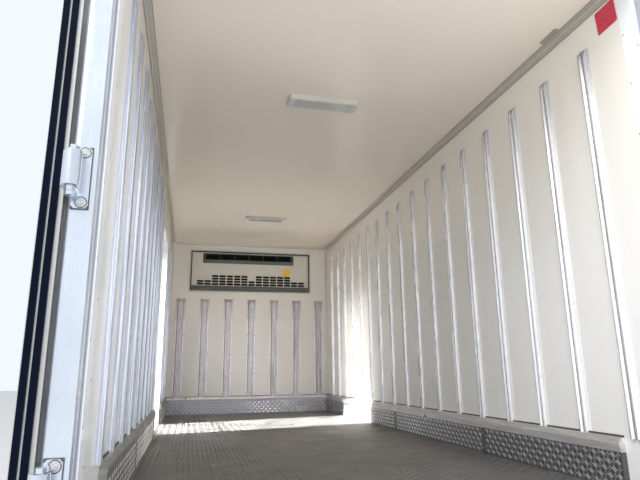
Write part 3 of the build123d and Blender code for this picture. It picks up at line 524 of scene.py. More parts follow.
def lens_finish(name, colour, pitch):
    """Clear moulded lens with a row of small prisms, and painted shade and highlight across each prism."""
    f = Finish(name, colour, 0.16)
    prisms = f.spread(f.maths("PINGPONG", f.along("X"), pitch), 0.0, pitch)
    # Painted shade and highlight across each prism.
    f.set("Base Color", f.tint(prisms, shade(colour, 0.82), shade(colour, 1.1)))
    f.set("Normal", f.bump(prisms, 0.5, pitch * 0.5))
    f.set("Coat Weight", 0.6)
    f.set("Coat Roughness", 0.08)
    return f.material


def film_finish(name, colour):
    """Plain film, slightly faded in clouds."""
    f = Finish(name, colour, 0.28)
    clouds = f.noise(f.place(), 14.0, 4.0, 0.6)
    f.set("Base Color", f.tint(clouds, shade(colour, 0.82), shade(colour, 1.12)))
    f.set("Roughness", f.spread(clouds, 0.3, 0.7, 0.22, 0.40))
    f.set("Normal", f.bump(f.noise(f.place(), 90.0, 2.0), 0.15, GRAIN))
    return f.material


# Copies of one lining in painted light: side walls tinted by height and a warmer ceiling, for how the light
# falls; the front wall is darker, and darker still towards the floor.
PANEL_SIDE = panel_finish("lining_side", CREAM, 0.20, ("X", OUT - 0.01), (0.87, 0.86, 0.84))
PANEL_FRONT = panel_finish(
    "lining_front", (0.84, 0.80, 0.745), 0.21, ("Y", NOSE - 0.01), (0.74, 0.70, 0.675))
PANEL_ROOF_WARM_LIT = panel_finish("lining_ceiling", (0.86, 0.78, 0.67), 0.20, ("Z", TOP - 0.01))
FLOOR_CORE = panel_finish("floor_skin", (0.70, 0.70, 0.68), 0.45)
DOOR_SKIN = panel_finish("door_skin", (0.84, 0.84, 0.83), 0.21)
JAMB = panel_finish("jamb_strip", (0.89, 0.91, 0.95), 0.22)

# The tread's dark lines between bar rows are painted shade.
TREAD = metal_finish(
    "tread_aluminium", (0.135, 0.137, 0.135), 0.42, marks=0.5, dirt=(0.075, 0.074, 0.067), bare=0.4,
    lines=(TILE, 0.008))
TREAD_BARS = metal_finish("tread_bars", (0.33, 0.33, 0.33), 0.34, marks=0.4, dirt=(0.22, 0.21, 0.19))
# Lit and shaded copies of one kick plate: the left one darker, the front one lighter and bluish, each with
# a painted highlight along its cap.
KICK = kick_finish("kick_aluminium", (0.125, 0.13, 0.14), (0.07, 0.07, 0.075), (0.66, 0.65, 0.64))
KICK_LEFT_SHADED = kick_finish("kick_left_aluminium", (0.11, 0.11, 0.11), (0.06, 0.06, 0.06), (0.34, 0.33, 0.30))
KICK_FRONT_LIT = kick_finish(
    "kick_front_aluminium", (0.34, 0.34, 0.39), (0.20, 0.20, 0.22), (0.95, 0.95, 0.98), 0.030)
KICK_BARS = metal_finish("kick_bars", (0.95, 0.96, 0.98), 0.22, marks=0.4, dirt=(0.40, 0.40, 0.41))
STAINLESS = metal_finish("stainless", (0.70, 0.75, 0.84), 0.22, (40, 40, 1), 0.1, bare=0.75)
ALUMINIUM = metal_finish("aluminium", (0.68, 0.67, 0.65), 0.33, (30, 1, 30), 0.2)
DOORWAY_LINING = metal_finish("doorway_lining", (0.86, 0.855, 0.84), 0.30, (30, 1, 30), 0.2, bare=0.2)
RIVET_DARK = metal_finish("dark_rivets", (0.06, 0.06, 0.065), 0.40, bare=0.5)
STEEL_DARK = metal_finish("screw_steel", (0.42, 0.42, 0.43), 0.35)
BOLT_STEEL = metal_finish("bolt_steel", (0.70, 0.70, 0.70), 0.25, marks=0.2)

# Rows of ribs: axis over the strips, middle of one strip, pitch, half width between the feet, top
SIDE_ROW = ("Y", -2.360, 0.294, 0.022, 2.25)
FRONT_ROW = ("X", 0.009, 0.292, 0.038, 1.70)
# Painted shade in a rib's creases: two edges from its middle, softness of the edges, share of the dark
# colour
SIDE_SHADE_BANDS = (
    (-0.0045, 0.0045, 0.0015, 0.60), (0.0178, 0.0200, 0.0003, 0.65), (-0.0236, -0.0224, 0.0004, 0.45))
FRONT_SHADE_BANDS = (
    (-0.0390, -0.0300, 0.0040, 0.60), (0.0330, 0.0400, 0.0010, 0.45),
    (-0.0575, -0.0545, 0.0006, 0.50), (0.0550, 0.0575, 0.0006, 0.50))
RIB_SIDE = rib_finish(
    "rib_strip_side", (0.92, 0.93, 0.97), (0.90, 0.885, 0.86), (0.60, 0.59, 0.62), SIDE_ROW, SIDE_SHADE_BANDS)
# Painted light: the left ribs are a darker, bluish copy of the side ribs, for the cool sky light on the
# left wall.
RIB_LEFT_COOL_LIT = rib_finish(
    "rib_strip_left", (0.66, 0.69, 0.79), (0.55, 0.56, 0.62), (0.42, 0.42, 0.47), SIDE_ROW, SIDE_SHADE_BANDS,
    streak=0.40, fine=75)
# The front ribs' white feet are a painted highlight, and their dark strips painted shade.
RIB_FRONT = rib_finish(
    "rib_strip_front", (0.54, 0.51, 0.54), (0.97, 0.97, 0.97), (0.50, 0.47, 0.47), FRONT_ROW, FRONT_SHADE_BANDS,
    shine=0.25, streak=0.80, specks=0.75, speck_scale=48)
TRIM = trim_finish("trim_strip", (0.60, 0.575, 0.52), 0.036)

EVAPORATOR_INSIDE = EVAPORATOR_FACE + 0.001
RUBBER = moulded_finish("black_rubber", (0.003, 0.006, 0.018), 0.55, 0.006, gloss=0.06)
CHASSIS = moulded_finish("chassis_paint", (0.035, 0.035, 0.038), 0.45, 0.25)
LAMP_WHITE = moulded_finish("lamp_housing", (0.62, 0.60, 0.56), 0.35)
WHITE_PLASTIC = moulded_finish("white_plastic", (0.80, 0.80, 0.78), 0.30)
GREY_PLASTIC = moulded_finish("grey_plastic", (0.30, 0.29, 0.27), 0.45, 0.15)
PROBE = moulded_finish("ceiling_plate", (0.36, 0.33, 0.28), 0.45, 0.10)
DARK_FRAME = moulded_finish("evaporator_rim", (0.070, 0.076, 0.066), 0.40, 0.10)
OUTLET_GREY = moulded_finish("outlet_grey", (0.10, 0.125, 0.105), 0.45, 0.05, 0.2, EVAPORATOR_INSIDE)
UNIT_PANEL = moulded_finish("unit_panel", (0.68, 0.65, 0.60), 0.35, inside=EVAPORATOR_INSIDE)
COIL = moulded_finish("coil_fins", COIL_SHADE, 0.7, gloss=0.05)
LOUVRE_BLACK = moulded_finish("louvre_black", (0.035, 0.036, 0.038), 0.40, 0.15)
SEALANT = moulded_finish("sealant", (0.07, 0.07, 0.075), 0.5)
SEALANT_GREY = moulded_finish("sealant_grey", (0.38, 0.40, 0.45), 0.5)
SEALANT_PALE = moulded_finish("sealant_pale", (0.42, 0.40, 0.36), 0.5)
UNIT_CASE = unit_finish()
LAMP_LENS = lens_finish("lamp_lens", (0.52, 0.54, 0.50), 0.004)
AMBER = lens_finish("amber_lens", (0.90, 0.30, 0.03), 0.003)
RED_FILM = film_finish("red_film", (0.62, 0.030, 0.075))
YELLOW_FILM = film_finish("yellow_film", (0.80, 0.52, 0.03))

FINISHES = {
    "floor_panel": FLOOR_CORE, "floor_tread": TREAD, "wall_left": PANEL_SIDE, "wall_right": PANEL_SIDE,
    "wall_front": PANEL_FRONT, "roof_panel": PANEL_ROOF_WARM_LIT, "rear_portal": STAINLESS, "outer_rails": ALUMINIUM,
    "sills": CHASSIS, "crossmembers": CHASSIS, "chassis_brackets": CHASSIS, "ribs_left": RIB_LEFT_COOL_LIT,
    "ribs_right": RIB_SIDE, "ribs_front": RIB_FRONT, "kick_left": KICK_LEFT_SHADED, "kick_right": KICK,
    "kick_front": KICK_FRONT_LIT, "inner_trims": TRIM, "jamb_trims": JAMB, "lamp_housings": LAMP_WHITE,
    "lamp_lenses": LAMP_LENS, "ceiling_probe": PROBE, "evaporator_frame": DARK_FRAME,
    "evaporator_panel": UNIT_PANEL, "outlet_vanes": OUTLET_GREY, "refrigeration_unit": UNIT_CASE,
    "unit_grille": LOUVRE_BLACK, "hinge_brackets": STAINLESS, "lock_keepers": STAINLESS,
    "door_stays": CHASSIS, "side_frame": DOORWAY_LINING, "marker_lamps": AMBER, "buffers": RUBBER,
    "drain_spouts": GREY_PLASTIC}
for door in ("rear_left", "rear_right", "side_door"):
    FINISHES[door + "_edge"] = ALUMINIUM
    FINISHES[door + "_panel"] = DOOR_SKIN
    FINISHES[door + "_gasket"] = RUBBER
    FINISHES[door + "_straps"] = STAINLESS
    FINISHES[door + "_lock"] = STAINLESS
for node, material in FINISHES.items():
    NODES[node].data.materials.clear()
    NODES[node].data.materials.append(material)


# Raised bars of the tread plate

LUG_LENGTH = 0.025
LUG_WIDTH = 0.0050
LUG_HEIGHT = 0.0015
LUG_SPREAD = 0.0095
FLOOR_MARGIN = 0.012
FLOOR_ENDS = 0.04
KICK_LIP = 0.003
KICK_BARS_UP = 0.004
KICK_BARS_SHORT = 0.03
KICK_TILES = 2.5
MERGE = 0.00001


def lug():
    """One raised bar along X on the plane Z = 0, with a ridge."""
    select_none()
    bpy.ops.mesh.primitive_plane_add(size=1.0, location=(0, 0, 0))
    bar = bpy.context.object
    bar.scale = (LUG_LENGTH, LUG_WIDTH, 1)
    set_down(bar)
    pick_all(bar)
    bpy.ops.mesh.extrude_region_move(TRANSFORM_OT_translate={"value": (0, 0, LUG_HEIGHT)})
    bpy.ops.transform.resize(value=(0.5, 0.0, 1.0), center_override=(0, 0, LUG_HEIGHT))
    bpy.ops.mesh.select_all(action="SELECT")
    bpy.ops.mesh.remove_doubles(threshold=MERGE)
    bpy.ops.mesh.normals_make_consistent(inside=False)
    put_away()
    pick(bar, lambda place, normal: normal.z < -0.9)
    bpy.ops.mesh.delete(type="FACE")
    put_away()
    return bar


def lug_tile():
    """Four pairs of bars, the pairs turned left and right in turn."""
    bar = lug()
    bars = []
    for column in range(2):
        for row in range(2):
            turn = radians(45 if (column + row) % 2 else -45)
            centre = Vector(((column + 0.5) * TILE / 2, (row + 0.5) * TILE / 2, 0))
            across = Vector((-sin(turn), cos(turn), 0)) * LUG_SPREAD / 2
            for side in (-1, 1):
                bars.append(copy_to(bar, centre + across * side, (0, 0, turn)))
    bpy.data.objects.remove(bar)
    return joined("lug_tile", bars)


def lug_field(name, columns, rows, matrix, material):
    """A field of tiles, placed by a matrix; its last row may be half a tile."""
    field = lug_tile()
    repeat(field, (TILE, 0, 0), columns)
    repeat(field, (0, TILE, 0), int(rows + 0.5))
    if rows != int(rows):
        pick_all(field)
        bpy.ops.mesh.bisect(plane_co=(0, rows * TILE, 0), plane_no=(0, 1, 0), clear_outer=True)
        put_away()
    field.name = name
    dress(lay(field, matrix), material)


def lay_lugs():
    """Fields on the floor and on the kick plates."""
    low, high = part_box("floor_tread")
    columns = int((high.x - low.x - FLOOR_MARGIN) / TILE)
    rows = int((high.y - low.y - FLOOR_ENDS) / TILE)
    half = rows // 2
    corner = Vector((-columns * TILE / 2, low.y + FLOOR_MARGIN, DECK))
    further = corner + Vector((0, half * TILE, 0))
    lug_field("floor_bars_rear", columns, half, Matrix.Translation(corner), TREAD_BARS)
    lug_field("floor_bars_front", columns, rows - half, Matrix.Translation(further), TREAD_BARS)
    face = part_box("kick_right")[0].x + KICK_LIP
    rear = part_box("kick_right")[0].y
    front = FRONT - KICK_BARS_SHORT
    up = DECK + KICK_BARS_UP
    door_rear, door_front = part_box("side_frame")[0].y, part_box("side_frame")[1].y
    to_right = Matrix(((0, 0, -1, face), (1, 0, 0, 0), (0, 1, 0, up), (0, 0, 0, 1)))
    to_left = Matrix(((0, 0, 1, -face), (-1, 0, 0, 0), (0, 1, 0, up), (0, 0, 0, 1)))
    to_front = Matrix(((1, 0, 0, 0), (0, 0, -1, 0), (0, 1, 0, up), (0, 0, 0, 1)))
    for name, matrix, start, end, way in (
            ("kick_bars_right", to_right, rear, front, 1),
            ("kick_bars_left_rear", to_left, rear, door_rear, -1),
            ("kick_bars_left_front", to_left, door_front, front, -1)):
        columns = int((end - start) / TILE)
        place = matrix.copy()
        place.translation.y = (start + end - way * columns * TILE) / 2
        lug_field(name, columns, KICK_TILES, place, KICK_BARS)
    columns = int(2 * face / TILE)
    to_front.translation = Vector((-columns * TILE / 2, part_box("kick_front")[0].y + KICK_LIP, up))
    lug_field("kick_bars_front", columns, KICK_TILES, to_front, KICK_BARS)


# Rivets and screws

RIVET_FIRST = 0.232
RIVET_STEP = 0.235
RIVET_FROM_TOP = 0.02
RIB_GROOVE_BED = 0.008
RIB_SHEET = 0.002
RIB_FRONT_STUDS = 0.052
COVE_SHEET = 0.003
COVE_ROW = 0.022
JAMB_SCREWS = 9
JAMB_FIRST = 0.11
JAMB_STEP = 0.2275
KICK_COVERS = (-1.205, 0.233, 1.671)
RAIL_PITCH = 0.14
RAIL_ROW = 0.045
BASE_ROW = 0.055


def stud_heights(top):
    """Heights of the rivets on a rib below its top."""
    heights = []
    z = DECK + RIVET_FIRST
    while z < top - RIVET_FROM_TOP:
        heights.append(z)
        z += RIVET_STEP
    return heights


def steps(start, end, pitch):
    """Evenly spaced places between two ends, about a pitch apart."""
    count = max(1, round(abs(end - start) / pitch))
    return [start + (end - start) * i / count for i in range(count + 1)]


def island_boxes(node):
    """Boxes of the separate solids of a CAD node."""
    mesh = bmesh.new()
    mesh.from_mesh(NODES[node].data)
    bmesh.ops.remove_doubles(mesh, verts=mesh.verts, dist=MERGE)
    boxes = []
    seen = set()
    for start in mesh.verts:
        if start.index in seen:
            continue
        stack = [start]
        seen.add(start.index)
        group = []
        while stack:
            vert = stack.pop()
            group.append(vert.co.copy())
            for edge in vert.link_edges:
                other = edge.other_vert(vert)
                if other.index not in seen:
                    seen.add(other.index)
                    stack.append(other)
        low = Vector([min(co[i] for co in group) for i in range(3)])
        high = Vector([max(co[i] for co in group) for i in range(3)])
        boxes.append((low, high))
    mesh.free()
    return sorted(boxes, key=lambda pair: tuple(round(v, 4) for v in pair[0]))


def rib_rivets():
    """Rivets along the groove of every side rib, and through both feet of every front rib."""
    for node, facing, side in (("ribs_right", "-X", 1), ("ribs_left", "+X", -1)):
        bed = side * (SIDE - RIB_GROOVE_BED)
        places = []
        for low, high in island_boxes(node):
            places += [((bed, (low.y + high.y) / 2, z), facing) for z in stud_heights(high.z)]
        scatter(node.replace("ribs", "rib_rivets"), rivet(0.0038, 0.0022), places, STEEL_DARK)
    places = []
    for low, high in island_boxes("ribs_front"):
        for z in stud_heights(high.z):
            for off in (-RIB_FRONT_STUDS, RIB_FRONT_STUDS):
                places.append((((low.x + high.x) / 2 + off, FRONT - RIB_SHEET, z), "-Y"))
    scatter("rib_rivets_front", rivet(0.0055, 0.0024), places, RIVET_DARK)


def cove_rivets():
    """Rivets through both legs of the angles between walls and ceiling."""
    places = []
    for y in steps(LINING + 0.14, FRONT - 0.10, 0.40):
        for side, facing in ((-1, "+X"), (1, "-X")):
            places.append(((side * (SIDE - COVE_SHEET), y, CEILING - COVE_ROW), facing))
            places.append(((side * (SIDE - COVE_ROW), y + 0.1, CEILING - COVE_SHEET), "-Z"))
    scatter("cove_rivets", rivet(0.0042, 0.002), places, STEEL_DARK)


def jamb_screws():
    """Two rows of screws down the flat strip on each side of the rear doorway."""
    low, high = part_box("jamb_trims")
    sheet = island_boxes("jamb_trims")[0]
    face = SIDE - (sheet[1].x - sheet[0].x)
    places = []
    for i in range(JAMB_SCREWS):
        z = DECK + JAMB_FIRST + JAMB_STEP * i
        for y, left_lift, right_lift in ((low.y + 0.010, 0.0, 0.06), (high.y - 0.010, 0.12, 0.15)):
            places.append(((-face, y, z + left_lift), "+X"))
            places.append(((face, y, z + right_lift), "-X"))
    scatter("jamb_screws", rivet(0.0042, 0.0018), places, STEEL_DARK)


def cover_screws():
    """Two screws in each joint cover of the kick plates."""
    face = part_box("kick_right")[0].x + 0.001
    places = []
    for y in KICK_COVERS:
        for z in (DECK + 0.03, DECK + 0.115):
            places.append(((face, y, z), "-X"))
            if not SIDE_DOOR_REAR < y < SIDE_DOOR_FRONT:
                places.append(((-face, y, z), "+X"))
    scatter("kick_screws", rivet(0.005, 0.0022), places, STEEL_DARK)


def lamp_screws():
    """Two screws at each end of the ceiling lamps and two in the small ceiling plate."""
    places = []
    for low, high in island_boxes("lamp_housings"):
        for x in (low.x + 0.017, high.x - 0.017):
            for y in (low.y + 0.032, high.y - 0.032):
                places.append(((x, y, low.z + 0.0005), "-Z"))
    low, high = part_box("ceiling_probe")
    for y in (low.y + 0.015, high.y - 0.015):
        places.append((((low.x + high.x) / 2, y, low.z), "-Z"))
    scatter("lamp_screws", rivet(0.004, 0.0018), places, STEEL_DARK)


def evaporator_screws():
    """Screws that hold the evaporator's front panel."""
    low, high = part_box("evaporator_panel")
    upper = (low.x + 0.02, low.x + 0.115, high.x - 0.02, high.x - 0.115)
    middle = (low.x + 0.19, 0.02, high.x - 0.19)
    places = [((x, low.y, high.z - 0.03), "-Y") for x in upper]
    places += [((x, low.y, low.z + 0.168), "-Y") for x in middle]
    scatter("evaporator_screws", rivet(0.0045, 0.002), places, STEEL_DARK)


def outer_rivets():
    """Rivets along the rails outside, left out under the side doorway."""
    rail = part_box("outer_rails")[1]
    inner = rail.x - RAIL_ROW
    base = FLOOR_BASE + BASE_ROW
    sides = ((-1, "-X"), (1, "+X"))
    places = []
    for y in steps(LINING + 0.06, NOSE - 0.05, RAIL_PITCH):
        for side, facing in sides:
            places.append(((side * rail.x, y, rail.z - RAIL_ROW), facing))
            if side > 0 or not SIDE_DOOR_REAR - 0.03 < y < SIDE_DOOR_FRONT + 0.03:
                places.append(((side * rail.x, y, base), facing))
            places.append(((side * inner, y, rail.z), "+Z"))
    for x in steps(-OUT + 0.06, OUT - 0.06, RAIL_PITCH):
        places.append(((x, rail.y, rail.z - 0.014), "+Y"))
        places.append(((x, rail.y, base), "+Y"))
        places.append(((x, rail.y - RAIL_ROW, rail.z), "+Z"))
    for z in steps(FLOOR_BASE + 0.16, rail.z - 0.16, RAIL_PITCH):
        for side, facing in sides:
            places.append(((side * rail.x, rail.y - RAIL_ROW, z), facing))
            places.append(((side * inner, rail.y, z), "+Y"))
    scatter("outer_rivets", rivet(0.0055, 0.0028), places, ALUMINIUM)


def frame_screws():
    """Screws in the lining of the side doorway."""
    low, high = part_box("side_frame")
    middle = (low.x + high.x) / 2
    places = []
    for z in steps(low.z + 0.15, high.z - 0.15, 0.30):
        for x in (middle - 0.022, middle + 0.022):
            places.append(((x, SIDE_DOOR_REAR, z), "+Y"))
            places.append(((x, SIDE_DOOR_FRONT, z), "-Y"))
    for y in steps(low.y + 0.12, high.y - 0.12, 0.25):
        places.append(((middle, y, high.z - 0.005), "-Z"))
    scatter("doorway_screws", rivet(0.0045, 0.002), places, STEEL_DARK)


# Runs of sealant

SEALANT_OUT = 0.0035
SEALANT_HIGH = 0.008
SEALANT_SUNK = 0.001
EVAPORATOR_SEALANT = 0.012


def bead(low, high, round_by=0.0014):
    """A run of sealant with rounded edges."""
    run = block("run", low, high)
    round_edges(run, round_by)
    return run


def sealant_runs():
    """Dark runs over the kick plates, grey ones at the posts and a pale one round the evaporator."""
    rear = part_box("kick_right")[0].y
    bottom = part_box("kick_right")[1].z - SEALANT_SUNK
    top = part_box("kick_right")[1].z + SEALANT_HIGH
    near, far = SIDE - SEALANT_OUT, SIDE + SEALANT_SUNK
    runs = [
        bead((near, rear, bottom), (far, FRONT, top)),
        bead((-far, rear, bottom), (-near, SIDE_DOOR_REAR - 0.006, top)),
        bead((-far, SIDE_DOOR_FRONT + 0.006, bottom), (-near, FRONT, top)),
        bead((-SIDE, FRONT - SEALANT_OUT, bottom), (SIDE, FRONT + SEALANT_SUNK, top))]
    dress(joined("sealant_runs", runs), SEALANT)
    posts = []
    for side in (-1, 1):
        left, right = sorted((side * (SIDE + 0.0005), side * (DOORWAY - 0.0002)))
        posts.append(bead((left, LINING - 0.005, DECK + 0.001), (right, LINING + 0.002, CEILING - 0.03)))
    dress(joined("sealant_posts", posts), SEALANT_GREY)
    low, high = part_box("evaporator_frame")
    rim = block(
        "evaporator_sealant", (low.x - EVAPORATOR_SEALANT, FRONT - 0.0025, low.z - EVAPORATOR_SEALANT),
        (high.x + EVAPORATOR_SEALANT, FRONT + 0.0005, high.z + EVAPORATOR_SEALANT))
    pick(rim, lambda place, normal: abs(normal.y) > 0.9)
    bpy.ops.mesh.delete(type="FACE")
    put_away()
    modify(rim, "SOLIDIFY", thickness=0.005, offset=-1.0)
    round_edges(rim, 0.0008, 1)
    dress(rim, SEALANT_PALE)


# Behind the evaporator's openings

FIN_COUNT = 249
FIN_PITCH = 0.006
FIN_SHEET = 0.0012


def coil_fins():
    """Sheet with a row of upright fins, near black as painted shade, seen through the slots and the outlet.
    """
    low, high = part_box("evaporator_panel")
    back = high.y - 0.0002
    sheet = bead((low.x + 0.01, back - 0.0015, low.z + 0.01), (high.x - 0.01, back, high.z - 0.01), 0.0004)
    left = low.x + 0.012
    fin = block("fin", (left, back - 0.0055, low.z + 0.012), (left + FIN_SHEET, back - 0.001, low.z + 0.26))
    pick(fin, lambda place, normal: normal.y < -0.9)
    bpy.ops.mesh.inset(thickness=0.0003)
    put_away()
    repeat(fin, (FIN_PITCH, 0, 0), FIN_COUNT)
    dress(joined("coil_fins", [sheet, fin]), COIL)


# Blank patches

def patch(name, centre, size, facing, turn, material):
    """A thin square of plain film with rounded corners, turned a little where it sticks."""
    film = block(name, (-size / 2, -size / 2, 0), (size / 2, size / 2, 0.0008))
    pick(film, lambda place, way: abs(way.z) > 0.9, "EDGE")
    bpy.ops.mesh.bevel(offset=0.006, segments=4)
    put_away()
    film.rotation_euler = TURNS[facing]
    set_down(film)
    lay(film, Matrix.Translation(centre) @ Matrix.Rotation(radians(turn), 4, facing[-1]))
    dress(film, material)


# Bolts on hinges, doors and buffers

STRAP_FACE = 0.018
STRAP_BOLTS = (0.105, 0.175, 0.245)
STRAP_BOLT_LIFTS = (-0.022, 0.022)
GUIDE_FACE = 0.004
GUIDE_END = 0.050
GUIDE_BOLTS = (-0.029, 0.029)
LEAF_FACES = ((0.026, "-Y"), (0.084, "+Y"))
LEAF_START = 0.071
LEAF_BOTTOM = 0.015
EDGE_ROW = 0.016
EDGE_PITCH = 0.19
HANDLE_LEVEL = 0.370
SLEEVE_HALF = 0.0155
PLATE_FACE = 0.032
PLATE_BOLT_IN = 0.023
PLATE_BOLT_LIFTS = (-0.085, 0.059)
PLATE_DROP = 0.013
PLATE_HALF = 0.0915
REAR_OPEN = radians(-266)
SIDE_OPEN = radians(-270)
SIDE_SHUT = radians(-90)


def hinge_pin(joint, height):
    """Place of a hinge pin at a height."""
    x, y, z = next(j for j in frame["joints"] if j["name"] == joint)["pos_m"]
    return Matrix.Translation((x, y, height))


REAR_PIN = hinge_pin("rear_door_left_hinge", DECK)
SIDE_PIN = hinge_pin("side_door_hinge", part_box("side_door_edge")[0].z - LEAF_BOTTOM)
REAR_HINGES = (0.197, 1.014, 1.840)
SIDE_HINGES = (0.200, 0.875, 1.550)
# Doors: body, name, where it rests, heights of its hinges, lock rod, free edge and top
DOORS = (
    ("rear_door_left", "rear_left", REAR_PIN @ Matrix.Rotation(REAR_OPEN, 4, "Z"), REAR_HINGES,
     0.900, 1.054, 2.055),
    ("side_door", "side_door", SIDE_PIN @ Matrix.Rotation(SIDE_OPEN, 4, "Z"), SIDE_HINGES,
     0.880, 1.041, 1.729))


def door_hardware():
    """Bolts on straps and lock guides, rivets round the door edges, and a sleeve on each lock handle.

    Their places are those on a shut door with its pin at the origin: X runs to the free edge and Y
    into the load space."""
    for body, name, matrix, hinges, rod, free_edge, top in DOORS:
        straps = [
            ((x, STRAP_FACE, z + lift), "-Y")
            for z in hinges for x in STRAP_BOLTS for lift in STRAP_BOLT_LIFTS]
        levels = (LEAF_BOTTOM + GUIDE_END, (LEAF_BOTTOM + top) / 2, top - GUIDE_END)
        guides = [((rod + off, GUIDE_FACE, z), "-Y") for z in levels for off in GUIDE_BOLTS]
        uprights = (LEAF_START + EDGE_ROW, free_edge - EDGE_ROW)
        levels = (LEAF_BOTTOM + EDGE_ROW, top - EDGE_ROW)
        edge = [(x, z) for z in steps(0.07, top - 0.055, EDGE_PITCH) for x in uprights]
        edge += [(x, z) for x in steps(0.13, free_edge - 0.06, EDGE_PITCH) for z in levels]
        rivets = [((x, y, z), facing) for x, z in edge for y, facing in LEAF_FACES]
        strap_bolts = copies(name + "_strap_bolts", bolt(0.0085, 0.006), straps)
        guide_bolts = copies(name + "_guide_bolts", bolt(0.006, 0.005), guides)
        edge_rivets = copies(name + "_edge_rivets", rivet(0.0045, 0.0022), rivets)
        sleeve = block(
            name + "_handle_sleeve", (rod - 0.285, -0.020, HANDLE_LEVEL - SLEEVE_HALF),
            (rod - 0.175, -0.0075, HANDLE_LEVEL + SLEEVE_HALF))
        round_edges(sleeve, 0.005, 3)
        for piece, material, slot in (
                (strap_bolts, BOLT_STEEL, "stainless"), (guide_bolts, BOLT_STEEL, "stainless"),
                (edge_rivets, ALUMINIUM, "aluminium_profile"), (sleeve, RUBBER, "rubber")):
            lay(piece, matrix)
            if body == "rear_door_left":
                twin = mirrored_copy(piece, piece.name.replace("left", "right"))
                dress(twin, material, "rear_door_right")
            dress(piece, material, body)


def lay_on_plates(piece, matrix, material, twin_name):
    """Lays a piece on its hinge plates, with its mirror image where that has a name."""
    dress(lay(piece, matrix), material)
    if twin_name:
        dress(mirrored_copy(piece, twin_name), material)


def plate_hardware():
    """Bolts on the hinge plates, a dark ring under each, and a dark run round every plate as painted shade
    along its edges.
    """
    side_plates = SIDE_PIN @ Matrix.Rotation(SIDE_SHUT, 4, "Z")
    for name, matrix, hinges, twin_name in (
            ("plate_bolts_left", REAR_PIN, REAR_HINGES, "plate_bolts_right"),
            ("plate_bolts_side", side_plates, SIDE_HINGES, None)):
        spots = [((PLATE_BOLT_IN, PLATE_FACE, z + lift), "-Y") for z in hinges for lift in PLATE_BOLT_LIFTS]
        bolts = copies(name, bolt(0.0095, 0.0060, 1.45), spots)
        lay_on_plates(bolts, matrix, BOLT_STEEL, twin_name)
    for name, matrix, hinges in (("rear", REAR_PIN, REAR_HINGES), ("side", side_plates, SIDE_HINGES)):
        runs = []
        rings = []
        for z in hinges:
            middle = z - PLATE_DROP
            # Painted shade: a dark run round each plate stands for its shadowed edges.
            runs.append(bead(
                (-0.0055, PLATE_FACE + 0.0045, middle - PLATE_HALF),
                (0.0435, PLATE_FACE + 0.0082, middle + PLATE_HALF)))
            for lift in PLATE_BOLT_LIFTS:
                centre = (PLATE_BOLT_IN, PLATE_FACE - 0.0002, z + lift)
                ring = disc(24, 0.0165, 0.0014, centre, TURNS["-Y"])
                round_edges(ring, 0.0004, 1)
                rings.append(ring)
        for label, parts in (("plate_shade_runs_", runs), ("plate_rings_", rings)):
            whole = joined(label + name, parts)
            lay_on_plates(whole, matrix, SEALANT, whole.name + "_right" if name == "rear" else None)


def buffer_bolts():
    """Bolts in the rubber buffers at the outer corners of the rear beam."""
    low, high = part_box("buffers")
    places = []
    for x in (low.x + 0.055, high.x - 0.055):
        for z in (low.z + 0.03, high.z - 0.03):
            places.append(((x, low.y, z), "-Y"))
    scatter("buffer_bolts", bolt(0.009, 0.004), places, BOLT_STEEL)


# Outside of the refrigeration unit

JOINT_HALF = 0.00175
JOINT_PROUD = 0.0006
JOINT_SUNK = 0.002
VENT_SLATS = 9
VENT_PITCH = 0.036
VENT_TILT = radians(38)


def latch():
    """Quarter-turn latch on the plane Z = 0."""
    seat = disc(28, 0.016, 0.005, (0, 0, 0.0025))
    round_edges(seat, 0.0012)
    bar = block("bar", (-0.012, -0.003, 0.004), (0.012, 0.003, 0.009))
    round_edges(bar, 0.0012)
    return joined("latch", [seat, bar])


def unit_joints():
    """Lines between the panels of the refrigeration unit."""
    low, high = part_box("refrigeration_unit")
    grille_low, grille_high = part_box("unit_grille")
    sunk, proud = high.y - JOINT_SUNK, high.y + JOINT_PROUD
    joints = []
    for z in (grille_low.z - 0.035, grille_high.z + 0.035):
        joints.append(block(
            "joint", (low.x + 0.03, sunk, z - JOINT_HALF), (high.x - 0.03, proud, z + JOINT_HALF)))
    for x in (low.x + 0.16, high.x - 0.16):
        joints.append(block(
            "joint", (x - JOINT_HALF, sunk, low.z + 0.03), (x + JOINT_HALF, proud, grille_high.z + 0.033)))
    for side in (-1, 1):
        left, right = sorted((side * (high.x - JOINT_SUNK), side * (high.x + JOINT_PROUD)))
        for y in (NOSE + 0.05, high.y - 0.14):
            joints.append(block(
                "joint", (left, y - JOINT_HALF, low.z + 0.05), (right, y + JOINT_HALF, high.z - 0.14)))
    dress(joined("unit_joints", joints), LOUVRE_BLACK)


def unit_vents():
    """Slatted vents on both sides of the refrigeration unit, with black backs as painted shade behind the
    slats.
    """
    low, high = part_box("refrigeration_unit")
    slats = []
    backs = []
    for side in (-1, 1):
        for i in range(VENT_SLATS):
            slat = block("slat", (-0.004, NOSE + 0.085, -0.011), (0.004, high.y - 0.175, 0.011))
            round_edges(slat, 0.002)
            slat.rotation_euler = (0, side * VENT_TILT, 0)
            slat.location = (side * (high.x + 0.002), 0, low.z + 0.20 + i * VENT_PITCH)
            set_down(slat)
            slats.append(slat)
        # Painted shade: a black back behind the slats.
        left, right = sorted((side * (high.x - 0.003), side * (high.x + 0.001)))
        backs.append(block("back", (left, NOSE + 0.08, low.z + 0.17), (right, high.y - 0.17, low.z + 0.52)))
    dress(joined("unit_side_vents", slats), WHITE_PLASTIC)
    dress(joined("unit_vent_backs", backs), LOUVRE_BLACK)


